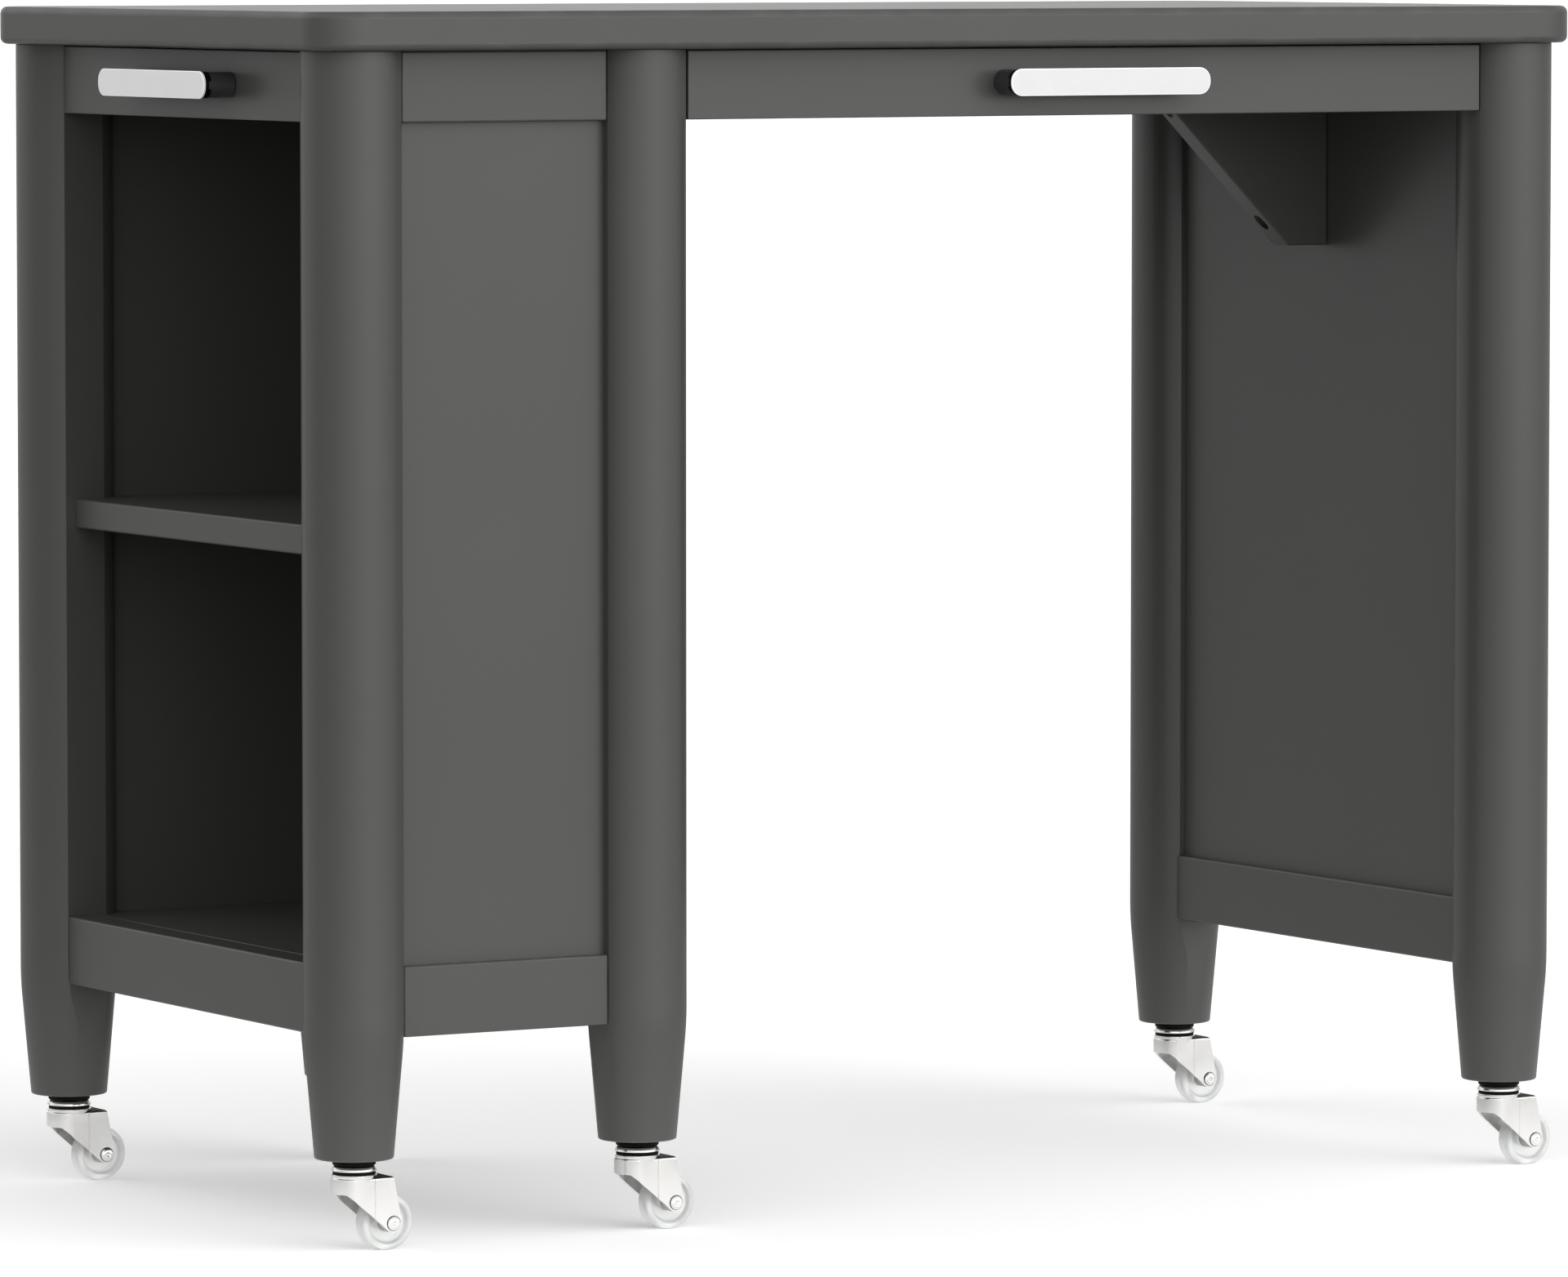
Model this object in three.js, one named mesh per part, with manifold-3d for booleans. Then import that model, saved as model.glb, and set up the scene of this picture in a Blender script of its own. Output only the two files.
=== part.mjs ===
// Rolling sewing table: six round posts carry a radiused top, a narrow pedestal with an open
// bay, a knee space, two shallow drawers with bar pulls, a corner brace and six swivel casters.
// Millimetres, +Z up. The origin is on the floor under the centre of the top, the long front
// faces -Y and the open bay faces -X. Drawers are shut and every caster trails towards +X.
import * as THREE from 'three';
import { mergeVertices } from 'three/addons/utils/BufferGeometryUtils.js';
import Module from 'manifold-3d';

const wasm = await Module();
wasm.setup();

// ---------------------------------------------------------------- driving dimensions (mm)
const TOP_LENGTH = 941; // tabletop along X
const TOP_DEPTH = 482.6; // tabletop along Y
const TOP_THICK = 24.5;
const TOP_CORNER = 31.5; // plan radius of the four corners
const TOP_EDGE = 4.5; // rounding along the upper and lower edge
const HEIGHT = 774.8; // floor to working surface
const SEAM = 0.3; // gap left between pieces that touch
const PAST = 1; // cutting tools run this far beyond what they cut

const POST_R = 31.5;
const POST_INSET = 38.9; // edge of the top to a post axis
const PEDESTAL = 203; // post axis to post axis across the pedestal
const FLAT = 28.3; // post axis to a milled flat
const FOOT_R = 24.9; // post radius at the very bottom
const FOOT_TAPER = 75.5; // height of the cone at the bottom
const FOOT_ROUND = 1.6; // rounding of the bottom edge
const POST_EASE = 1.1; // chamfer of the upper edge

const RAIL_H = 44.5;
const RAIL_T = 30;
const RAIL_OUT = 13.9; // post axis to the outer face of every rail
const RAIL_EASE = 1.4; // chamfer on every rail edge
const PANEL_T = 18;
const PANEL_OUT = 7.7; // post axis to the outer face of a panel
const TONGUE = 5; // depth of the panel grooves
const BAY_RAIL_T = 22; // lower rail of the open bay

const SHELF_T = 19;
const SHELF_TOP = 453.1;
const SHELF_NOSE = 7; // shelf edge ahead of the bay post axes
const FLOOR_T = 18;
const BOARD_EASE = 0.9;

const FRONT_OUT = 14.8; // post axis to the face of a drawer front
const FRONT_T = 18; // drawer front
const FRONT_GAP = 1; // drawer front to anything around it
const FRONT_EASE = 0.7;
const BOX_T = 12; // drawer sides and back
const BOX_H = 30;
const BOX_LIFT = 8.5; // underside of the box above the lower edge of the front
const BOX_LENGTH = 160; // drawer sides, front to back
const BOX_CLEAR = 1.2; // drawer side to the post it passes
const BOTTOM_T = 5;
const BOTTOM_UP = 4; // drawer bottom above the underside of the box
const BOTTOM_IN = 5; // depth of the groove that holds it
const RUNNER_LEDGE = 5.5; // thickness of the ledge under the box
const RUNNER_LAP = 9; // ledge reaching under the drawer side
const RUNNER_CLEAR = 0.5; // running clearance

const PULL_LENGTH = 151;
const PULL_H = 17.5;
const PULL_T = 6;
const PULL_END = 8.2; // corner radius of the bar
const PULL_EASE = 1.2;
const PULL_REACH = 23; // drawer face to the face of the bar
const PULL_POST_R = 8.2;
const PULL_POST_AT = 67.1; // post centre from the middle of the bar

const BRACE_LEG = 139.4;
const BRACE_T = 19;
const BRACE_AT = 4; // middle of the brace behind the middle of the table
const BRACE_END = 31.5; // square-cut end of each leg
const SCREW_IN = 15.7; // screw axis in from the end of the sloping face
const SCREW_LAND = 14; // wood left under the screw head
const SCREW_HEAD_R = 4.3;
const SCREW_HEAD_T = 2.6;
const SCREW_R = 2;
const SCREW_BORE_R = 4.9;
const SCREW_BITE = 6.5; // shank beyond the surface it is driven into

const CASTER_H = 58.8; // floor to foot
const WHEEL_R = 17.8;
const WHEEL_W = 12;
const HUB_R = 6;
const RIM_DEPTH = 3.8; // radial depth of the rim
const RIM_STEP = 2.6; // web set back from the side of the rim
const TREAD_ROUND = 2.4;
const TRAIL = 21; // swivel axis to axle
const AXLE_R = 2.6;
const AXLE_CLEAR = 0.3;
const FORK_HALF = 13.3; // half width over the cheeks
const FORK_T = 1.7; // sheet thickness
const FORK_FRONT = 14.3; // swivel axis to the front of the hood
const FORK_CORNER = 11.5; // plan radius of the hood
const FORK_LIP = 3.6; // length of the level lower edge behind the front
const FORK_BACK = 21.2; // swivel axis to the upper rear corner
const FORK_WEB = 10; // height of the hood at the front
const FORK_BOSS = 5.8; // rounded end of each cheek
const RIVET_R = 4.6;
const RIVET_T = 1.9;
const RIVET_RIM = 0.4;
const DOME = 0.55; // flat middle of a domed head as a share of its radius
const CROWN_DROP = 11.8; // foot to the top of the fork
const RACE_H = 2.4; // race raised above it
const RING_R = 14.3;
const RING_H = 3.6;
const RING_LIFT = 1.3; // groove between the race and the ring
const RING_GROOVE = 1.3; // its depth
const RING_EASE = 1;
const COLLAR_R = 13.7;
const COLLAR_H = 3.8;
const STEM_R = 4;
const STEM_UP = 34; // stem reaching into the post
const STEM_HEAD_R = 6;
const STEM_HEAD_T = 2.2;
const SWIVEL_GAP = 0.4;

// ---------------------------------------------------------------- levels and axes
const UNDER = HEIGHT - TOP_THICK; // underside of the top
const POST_TOP = UNDER - SEAM;
const UP0 = POST_TOP - RAIL_H; // upper rails
const LOW0 = CASTER_H + FOOT_TAPER; // lower rails
const LOW1 = LOW0 + RAIL_H;
const AX = TOP_LENGTH / 2 - POST_INSET; // outer posts, +-X
const AY = TOP_DEPTH / 2 - POST_INSET; // all posts, +-Y
const MX = PEDESTAL - AX; // middle posts
const RAIL_IN = RAIL_T - RAIL_OUT; // post axis to the inner face of a rail
const PANEL_IN = PANEL_T - PANEL_OUT; // post axis to the inner face of a panel
const FRONT_END = FLAT + FRONT_GAP; // post axis to the end of a drawer front
const FRONT_Z0 = UP0;
const FRONT_Z1 = UNDER - FRONT_GAP;
const BOX_Z0 = FRONT_Z0 + BOX_LIFT;
const FACETS = { post: 32, wheel: 24, ring: 18, stem: 14, rivet: 10, pull: 14, screw: 10 };

// ---------------------------------------------------------------- finishes
const finish = (color, roughness, metalness) => ({ color, roughness, metalness });
const PAINT = finish(0x5b5b59, 0.5, 0);
const PAINT_DARK = finish(0x4a4a48, 0.55, 0);
const BOX_WOOD = finish(0x54534f, 0.6, 0);
const BRIGHT_METAL = finish(0xdcdcda, 0.3, 0.9);
const CHROME = finish(0xd2d4d6, 0.18, 1);
const BLACK = finish(0x141414, 0.5, 0.2);
const CLEAR = finish(0xe4e6e4, 0.12, 0);
const ZINC = finish(0x8c8c88, 0.4, 0.9);

// ---------------------------------------------------------------- solids
/** Closed solid from a three.js geometry. */
function solid(geometry) {
  const bare = geometry.clone();
  bare.deleteAttribute('normal');
  bare.deleteAttribute('uv');
  const shape = mergeVertices(bare, 1e-4);
  return new wasm.Manifold(new wasm.Mesh({
    numProp: 3,
    vertProperties: new Float32Array(shape.attributes.position.array),
    triVerts: new Uint32Array(shape.index.array),
  }));
}

/** three.js mesh of a solid, with its name and finish. */
function piece(name, body, look) {
  const data = body.getMesh();
  const geometry = new THREE.BufferGeometry();
  geometry.setAttribute('position', new THREE.BufferAttribute(new Float32Array(data.vertProperties), 3));
  geometry.setIndex(new THREE.BufferAttribute(new Uint32Array(data.triVerts), 1));
  geometry.computeVertexNormals();
  const material = new THREE.MeshStandardMaterial({ ...look, flatShading: true });
  const mesh = new THREE.Mesh(geometry, material);
  mesh.name = name;
  return mesh;
}

/** Group of pieces with its own position. */
function group(at, ...children) {
  const unit = new THREE.Group();
  unit.position.set(...at);
  return unit.add(...children);
}

const less = (body, ...tools) => tools.reduce((rest, tool) => rest.subtract(tool), body);
const plus = (body, ...others) => others.reduce((sum, other) => sum.add(other), body);
const sorted = (a, b) => (a < b ? [a, b] : [b, a]);
const centred = (at, half) => [at - half, at + half];
const size = ([a, b]) => b - a;
const middle = ([a, b]) => (a + b) / 2;

/** Square-edged block between limits. */
function block(x, y, z) {
  const box = new THREE.BoxGeometry(size(x), size(y), size(z));
  return solid(box.translate(middle(x), middle(y), middle(z)));
}

/** Block with every edge chamfered. */
function board(x, y, z, ease) {
  const [w, d] = [size(x) / 2, size(y) / 2];
  const outline = new THREE.Shape([
    [-w, -d + ease], [-w + ease, -d], [w - ease, -d], [w, -d + ease],
    [w, d - ease], [w - ease, d], [-w + ease, d], [-w, d - ease],
  ].map(([u, v]) => new THREE.Vector2(u, v)));
  return solid(plate(outline, size(z), ease, 1).translate(middle(x), middle(y), z[0]));
}

/** Extruded outline whose two faces have softened edges; it stands on z = 0. */
function plate(outline, thick, ease, steps) {
  return new THREE.ExtrudeGeometry(outline, {
    depth: thick - 2 * ease, bevelEnabled: true, bevelThickness: ease, bevelSize: ease,
    bevelOffset: -ease, bevelSegments: steps, curveSegments: 4,
  }).translate(0, 0, ease);
}

/** Rectangle with round corners, centred on the origin; a corner takes 2 * steps facets. */
function roundRect(length, depth, radius, steps) {
  const [w, d] = [length / 2 - radius, depth / 2 - radius];
  const shape = new THREE.Shape();
  shape.absarc(w, d, radius, 0, Math.PI / 2);
  shape.absarc(-w, d, radius, Math.PI / 2, Math.PI);
  shape.absarc(-w, -d, radius, Math.PI, 1.5 * Math.PI);
  shape.absarc(w, -d, radius, 1.5 * Math.PI, 2 * Math.PI);
  return new THREE.Shape(dropRepeats(shape.getPoints(steps)));
}

/** Outline points without repeats, so that the extrusion closes. */
function dropRepeats(points) {
  return points.filter((p, i) => p.distanceTo(points[(i + 1) % points.length]) > 1e-3);
}

/** Solid turned about Z from [radius, height] pairs that begin and end on the axis. */
function turned(profile, facets) {
  const points = profile.map(([r, h]) => new THREE.Vector2(r, h));
  return solid(new THREE.LatheGeometry(points, facets).rotateX(Math.PI / 2));
}

/** Round bar along Z between two heights. */
function bar(radius, [z0, z1], facets) {
  return turned([[0, z0], [radius, z0], [radius, z1], [0, z1]], facets);
}

const alongX = (body) => body.rotate([0, 90, 0]);
const alongY = (body) => body.rotate([-90, 0, 0]);

// ---------------------------------------------------------------- posts
/** X and Y limits of a block that stands off the post axis in one of the plan directions. */
function off([dx, dy], near, far, across) {
  return dx ? [sorted(dx * near, dx * far), across] : [across, sorted(dy * near, dy * far)];
}

/** Block beyond a flat, wide enough to cut it over the whole post. */
function beyond(dir, near, z) {
  return block(...off(dir, near, 2 * POST_R, centred(0, 2 * POST_R)), z);
}

/** Turned post with its full-height flats; grow enlarges it for cutting boards to fit. */
function postCore(flats, profile, z, grow) {
  return less(turned(profile, FACETS.post), ...flats.map((dir) => beyond(dir, FLAT + grow, z)));
}

/** One post: round above a cone, flats for the frames, seats, panel grooves and stem bore. */
function post(flats, seats, grooves) {
  const profile = [
    [0, CASTER_H], [FOOT_R - FOOT_ROUND, CASTER_H], [FOOT_R, CASTER_H + FOOT_ROUND],
    [POST_R, LOW0 - SEAM], [POST_R, POST_TOP - POST_EASE],
    [POST_R - POST_EASE, POST_TOP], [0, POST_TOP],
  ];
  const full = [CASTER_H - PAST, POST_TOP + PAST];
  const seatZ = [UP0 - SEAM, POST_TOP + PAST];
  const seatCuts = seats.map((dir) => beyond(dir, FLAT, seatZ));
  const bore = bar(STEM_R + SEAM, [CASTER_H - PAST, CASTER_H + STEM_UP + PAST], FACETS.stem);
  return less(postCore(flats, profile, full, 0), ...seatCuts, ...grooves, bore);
}

/** Groove in a post flat that takes the edge of the panel of a frame. */
function postGroove(dir, { out }) {
  const wide = inward({ plane: 0, out }, -PANEL_OUT - SEAM, PANEL_IN + SEAM);
  return block(...off(dir, FLAT - TONGUE, POST_R + PAST, wide), [LOW1 - TONGUE, UP0 + TONGUE]);
}

// ---------------------------------------------------------------- frames between posts
/** A frame of two rails and a recessed panel between two posts. */
const FRAMES = {
  pedestal_front: { run: 'x', from: -AX, to: MX, plane: -AY, out: -1 },
  pedestal_back: { run: 'x', from: -AX, to: MX, plane: AY, out: 1 },
  pedestal_side: { run: 'y', from: -AY, to: AY, plane: MX, out: 1 },
  right_end: { run: 'y', from: -AY, to: AY, plane: AX, out: 1 },
};

/** Interval measured inward from the plane through the post axes. */
const inward = ({ plane, out }, near, far) => sorted(plane - out * near, plane - out * far);

/** Orders a run interval and a cross interval into X, Y for a frame. */
const lay = ({ run }, runs, across) => (run === 'x' ? [runs, across] : [across, runs]);

/** Rail of a frame, grooved on the side that meets the panel. */
function frameRail(frame, z, grooveAtTop) {
  const runs = [frame.from + FLAT + SEAM, frame.to - FLAT - SEAM];
  const body = board(...lay(frame, runs, inward(frame, -RAIL_OUT, RAIL_IN)), z, RAIL_EASE);
  const groove = grooveAtTop ? [z[1] - TONGUE, z[1] + PAST] : [z[0] - PAST, z[0] + TONGUE];
  const across = inward(frame, -PANEL_OUT - SEAM, PANEL_IN + SEAM);
  return less(body, block(...lay(frame, [frame.from, frame.to], across), groove));
}

/** Panel of a frame, held in the grooves of posts and rails. */
function framePanel(frame) {
  const hold = FLAT - TONGUE + SEAM;
  const runs = [frame.from + hold, frame.to - hold];
  const z = [LOW1 - TONGUE + SEAM, UP0 + TONGUE - SEAM];
  return block(...lay(frame, runs, inward(frame, -PANEL_OUT, PANEL_IN)), z);
}

/** The two rails and the panel of a frame. */
function frameGroup(name) {
  const frame = FRAMES[name];
  const panel = framePanel(frame);
  return group([0, 0, 0],
    piece(`${name}_top_rail`, frameRail(frame, [UP0, POST_TOP], false), PAINT),
    piece(`${name}_panel`, name === 'right_end' ? less(panel, panelPilot()) : panel, PAINT),
    piece(`${name}_bottom_rail`, frameRail(frame, [LOW0, LOW1], true), PAINT));
}

// ---------------------------------------------------------------- the six posts
const E = [1, 0];
const W = [-1, 0];
const N = [0, 1];
const S = [0, -1];
const POSTS = {
  front_left: { at: [-AX, -AY], flats: [E, N], seats: [], panels: [[E, 'pedestal_front']] },
  back_left: { at: [-AX, AY], flats: [E, S], seats: [], panels: [[E, 'pedestal_back']] },
  front_middle: {
    at: [MX, -AY], flats: [W, N], seats: [E],
    panels: [[W, 'pedestal_front'], [N, 'pedestal_side']],
  },
  back_middle: {
    at: [MX, AY], flats: [W, S], seats: [E],
    panels: [[W, 'pedestal_back'], [S, 'pedestal_side']],
  },
  front_right: { at: [AX, -AY], flats: [N], seats: [W], panels: [[N, 'right_end']] },
  back_right: { at: [AX, AY], flats: [S], seats: [W], panels: [[S, 'right_end']] },
};

/** Posts with the caster under each one; a group stands at every post axis. */
function postGroups() {
  const caster = [stem(), fork(), wheel()];
  return Object.entries(POSTS).map(([name, { at, flats, seats, panels }]) => {
    const grooves = panels.map(([dir, frame]) => postGroove(dir, FRAMES[frame]));
    return group([...at, 0],
      piece(`post_${name}`, post(flats, seats, grooves), PAINT),
      piece(`caster_stem_${name}`, caster[0], BLACK),
      piece(`caster_fork_${name}`, caster[1], CHROME),
      piece(`caster_wheel_${name}`, caster[2], CLEAR));
  });
}

/** A board cut to clear the four pedestal posts, with one gap all round. */
function fitted(body, z) {
  const r = POST_R + SEAM;
  const tall = [z[0] - PAST, z[1] + PAST];
  const profile = [[0, tall[0]], [r, tall[0]], [r, tall[1]], [0, tall[1]]];
  const around = ['front_left', 'back_left', 'front_middle', 'back_middle'].map((name) => {
    const { at, flats } = POSTS[name];
    return postCore(flats, profile, [tall[0] - PAST, tall[1] + PAST], SEAM).translate([...at, 0]);
  });
  return less(body, ...around);
}

// ---------------------------------------------------------------- open bay, apron, top
/** Lower rail, shelf and floor of the open bay at the left end. */
function bayGroup() {
  const bay = { run: 'y', from: -AY, to: AY, plane: -AX, out: -1 };
  const runs = [bay.from + FLAT + SEAM, bay.to - FLAT - SEAM];
  const railIn = BAY_RAIL_T - RAIL_OUT;
  const rail = board(inward(bay, -RAIL_OUT, railIn), runs, [LOW0, LOW1], RAIL_EASE);
  const shelfZ = [SHELF_TOP - SHELF_T, SHELF_TOP];
  const half = AY - PANEL_IN - SEAM;
  const shelf = board([-AX - SHELF_NOSE, MX - PANEL_IN - SEAM], [-half, half], shelfZ, BOARD_EASE);
  const floorZ = [LOW1 - FLOOR_T, LOW1];
  const inner = AY - RAIL_IN - SEAM;
  const floorX = [-AX + railIn + SEAM, MX - RAIL_IN - SEAM];
  return group([0, 0, 0],
    piece('bay_bottom_rail', rail, PAINT),
    piece('bay_shelf', fitted(shelf, shelfZ), PAINT),
    piece('bay_floor', fitted(block(floorX, [-inner, inner], floorZ), floorZ), PAINT_DARK));
}

/** Rail that ties the two right-hand bays together along the back. */
function backApron() {
  const x = [MX + FLAT + SEAM, AX - FLAT - SEAM];
  const y = [AY - RAIL_IN, AY + RAIL_OUT];
  return piece('back_apron', board(x, y, [UP0, POST_TOP], RAIL_EASE), PAINT);
}

/** Radiused top with the pilot hole of the brace screw in its underside. */
function tabletop() {
  const body = solid(plate(roundRect(TOP_LENGTH, TOP_DEPTH, TOP_CORNER, 4), TOP_THICK, TOP_EDGE, 3)
    .translate(0, 0, UNDER));
  const pilot = bar(SCREW_R + SEAM, [UNDER - PAST, UNDER + SCREW_BITE + SEAM], FACETS.screw);
  return piece('tabletop', less(body, pilot.translate([BRACE_X - UP_SCREW, BRACE_AT, 0])), PAINT);
}

// ---------------------------------------------------------------- corner brace
const BRACE_X = AX - PANEL_IN - SEAM; // edge that stands on the right-hand panel
const UP_SCREW = BRACE_LEG - SCREW_IN; // screw axis along the top leg
const LOW_SCREW = POST_TOP - UP_SCREW; // height of the screw in the other leg

/** Pilot hole in the right-hand panel, opposite the lower brace screw. */
function panelPilot() {
  const run = [AX - PANEL_IN - PAST, AX - PANEL_IN + SCREW_BITE + SEAM];
  return alongX(bar(SCREW_R + SEAM, run, FACETS.screw)).translate([0, BRACE_AT, LOW_SCREW]);
}

/** Counterbored hole through a leg, on the Z axis with the mating face at z = 0. */
function screwHole() {
  const shank = bar(SCREW_R + SEAM, [-SCREW_LAND - PAST, PAST], FACETS.screw);
  return plus(shank, bar(SCREW_BORE_R, [-BRACE_LEG, -SCREW_LAND], FACETS.ring));
}

/** Pan-head screw on the Z axis, point up, its head under the land at -SCREW_LAND. */
function screw(bite) {
  const head = -SCREW_LAND - SEAM;
  return turned([
    [0, head - SCREW_HEAD_T], [SCREW_HEAD_R * DOME, head - SCREW_HEAD_T],
    [SCREW_HEAD_R, head - SCREW_HEAD_T * DOME], [SCREW_HEAD_R, head], [SCREW_R, head],
    [SCREW_R, bite - SCREW_R], [0, bite],
  ], FACETS.screw);
}

function braceGroup() {
  const notch = [PANEL_IN - RAIL_IN, UP0 - POST_TOP - SEAM]; // clears the upper rail
  const legs = [[notch[0], 0], [-BRACE_LEG, 0], [-BRACE_LEG, -BRACE_END],
    [-BRACE_END, -BRACE_LEG], [0, -BRACE_LEG], [0, notch[1]], notch,
  ].map(([u, v]) => new THREE.Vector2(u, v));
  const flat = plate(new THREE.Shape(legs), BRACE_T, BOARD_EASE, 1).translate(0, 0, -BRACE_T / 2);
  const body = solid(flat.rotateX(Math.PI / 2));
  const up = screwHole().translate([-UP_SCREW, 0, 0]);
  const side = alongX(screwHole()).translate([0, 0, -UP_SCREW]);
  const topScrew = piece('brace_screw_top', screw(SEAM + SCREW_BITE), ZINC);
  topScrew.position.x = -UP_SCREW;
  const sideScrew = piece('brace_screw_side', screw(SEAM + SCREW_BITE), ZINC);
  sideScrew.position.z = -UP_SCREW;
  sideScrew.rotation.y = Math.PI / 2;
  return group([BRACE_X, BRACE_AT, POST_TOP],
    piece('corner_brace', less(body, up, side), PAINT_DARK), topScrew, sideScrew);
}

// ---------------------------------------------------------------- drawers
/**
 * Where a drawer stands: middle of its face, turn about Z, spacing of its two posts, and the
 * distance from each post axis to the rail face that carries a runner, left and right.
 */
const DRAWERS = {
  front: { at: [(MX + AX) / 2, -AY - FRONT_OUT], turn: 0, spacing: AX - MX, rails: [RAIL_OUT, RAIL_IN] },
  end: { at: [-AX - FRONT_OUT, 0], turn: -Math.PI / 2, spacing: 2 * AY, rails: [RAIL_IN, RAIL_IN] },
};

/** Side, back and bottom limits that all box pieces share, in the drawer's own axes. */
function boxLimits({ spacing }) {
  const half = spacing / 2 - POST_R - BOX_CLEAR;
  const y = [FRONT_T + SEAM, FRONT_T + SEAM + BOX_LENGTH];
  const z = [BOX_Z0, BOX_Z0 + BOX_H];
  const floor = [BOX_Z0 + BOTTOM_UP, BOX_Z0 + BOTTOM_UP + BOTTOM_T];
  return { half, y, z, floor };
}

/** Drawer side, grooved for the bottom; hand is -1 for the left one and 1 for the right. */
function drawerSide(drawer, hand) {
  const { half, y, z, floor } = boxLimits(drawer);
  const x = sorted(hand * half, hand * (half - BOX_T));
  const cut = sorted(hand * (half - BOX_T - PAST), hand * (half - BOX_T + BOTTOM_IN));
  const groove = block(cut, [y[0] - PAST, y[1] + PAST], [floor[0] - SEAM, floor[1] + SEAM]);
  return less(block(x, y, z), groove);
}

/** Drawer front with the groove that takes the front edge of the bottom. */
function drawerFront(drawer) {
  const { half, floor } = boxLimits(drawer);
  const w = drawer.spacing / 2 - FRONT_END;
  const body = board([-w, w], [0, FRONT_T], [FRONT_Z0, FRONT_Z1], FRONT_EASE);
  const inner = half - BOX_T + BOTTOM_IN;
  return less(body, block([-inner, inner], [FRONT_T - BOTTOM_IN, FRONT_T + PAST],
    [floor[0] - SEAM, floor[1] + SEAM]));
}

/** Bar pull: a flat bar with softened edges on two round posts. */
function pull() {
  const shape = roundRect(PULL_LENGTH, PULL_H, PULL_END, 3);
  const face = plate(shape, PULL_T, PULL_EASE, 2).rotateX(Math.PI / 2);
  const flat = solid(face.translate(0, PULL_T - PULL_REACH, 0));
  const stand = alongY(bar(PULL_POST_R, [-PULL_REACH + PULL_T / 2, -SEAM], FACETS.pull));
  const stands = [-1, 1].map((hand) => stand.translate([hand * PULL_POST_AT, 0, 0]));
  return plus(flat, ...stands).translate([0, 0, (FRONT_Z0 + FRONT_Z1) / 2]);
}

/** Wooden runner: a channel under the top with a ledge below the drawer side and one above. */
function runner(drawer, hand) {
  const { half, z } = boxLimits(drawer);
  const wall = drawer.spacing / 2 - drawer.rails[hand < 0 ? 0 : 1] - SEAM;
  const y = [FRONT_OUT + POST_R + FRONT_GAP, FRONT_OUT + PEDESTAL - POST_R - FRONT_GAP];
  const bed = z[0] - RUNNER_CLEAR;
  const guide = block(sorted(hand * wall, hand * (half + RUNNER_CLEAR)), y, [bed - RUNNER_LEDGE, POST_TOP]);
  const lap = sorted(hand * wall, hand * (half - RUNNER_LAP));
  const ledges = [[bed - RUNNER_LEDGE, bed], [z[1] + RUNNER_CLEAR, POST_TOP]];
  return plus(guide, ...ledges.map((span) => block(lap, y, span)));
}

/** Front, sides, back, bottom, pull and the two fixed runners of one drawer. */
function drawerGroup(name) {
  const drawer = DRAWERS[name];
  const { half, y, z, floor } = boxLimits(drawer);
  const inside = half - BOX_T - SEAM;
  const hold = half - BOX_T + BOTTOM_IN - SEAM;
  const back = block([-inside, inside], [y[1] - BOX_T, y[1]], [floor[1] + SEAM, z[1]]);
  const bottom = block([-hold, hold], [FRONT_T - BOTTOM_IN + SEAM, y[1] - SEAM], floor);
  const unit = group([...drawer.at, 0],
    piece(`${name}_drawer_front`, drawerFront(drawer), PAINT),
    piece(`${name}_drawer_left_side`, drawerSide(drawer, -1), BOX_WOOD),
    piece(`${name}_drawer_right_side`, drawerSide(drawer, 1), BOX_WOOD),
    piece(`${name}_drawer_back`, back, BOX_WOOD),
    piece(`${name}_drawer_bottom`, bottom, BOX_WOOD),
    piece(`${name}_pull`, pull(), BRIGHT_METAL),
    piece(`${name}_runner_left`, runner(drawer, -1), BOX_WOOD),
    piece(`${name}_runner_right`, runner(drawer, 1), BOX_WOOD));
  unit.rotation.z = drawer.turn;
  return unit;
}

// ---------------------------------------------------------------- casters
const CROWN = CASTER_H - CROWN_DROP; // upper face of the fork

/** Stem with its black collar; a riveted head under the crown keeps the fork on. */
function stem() {
  const collar1 = CASTER_H - SEAM;
  const collar0 = collar1 - COLLAR_H;
  const head1 = CROWN - FORK_T - SWIVEL_GAP;
  const rim = COLLAR_H / 4;
  return turned([
    [0, head1 - STEM_HEAD_T], [STEM_HEAD_R, head1 - STEM_HEAD_T], [STEM_HEAD_R, head1],
    [STEM_R, head1], [STEM_R, collar0], [COLLAR_R - rim, collar0], [COLLAR_R, collar0 + rim],
    [COLLAR_R, collar1 - rim], [COLLAR_R - rim, collar1], [STEM_R, collar1],
    [STEM_R, CASTER_H + STEM_UP - rim], [STEM_R - rim, CASTER_H + STEM_UP], [0, CASTER_H + STEM_UP],
  ], FACETS.stem);
}

/** Side view of the fork in X, Z: crown, hood, sloping lower edge, rounded cheek end. */
function forkOutline() {
  const axle = new THREE.Vector2(TRAIL, WHEEL_R);
  const low = new THREE.Vector2(-FORK_FRONT + FORK_LIP, CROWN - FORK_WEB);
  const toLow = low.clone().sub(axle);
  const touch = toLow.angle() + Math.acos(FORK_BOSS / toLow.length());
  const rear = new THREE.Vector2(FORK_BACK, CROWN);
  const toRear = rear.clone().sub(axle);
  const leave = toRear.angle() - Math.acos(FORK_BOSS / toRear.length());
  const end = new THREE.EllipseCurve(axle.x, axle.y, FORK_BOSS, FORK_BOSS, touch,
    leave + 2 * Math.PI, false).getPoints(6);
  const front = new THREE.Vector2(-FORK_FRONT - PAST, CROWN);
  return new THREE.Shape([front, new THREE.Vector2(front.x, low.y), low, ...end, rear]);
}

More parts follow.
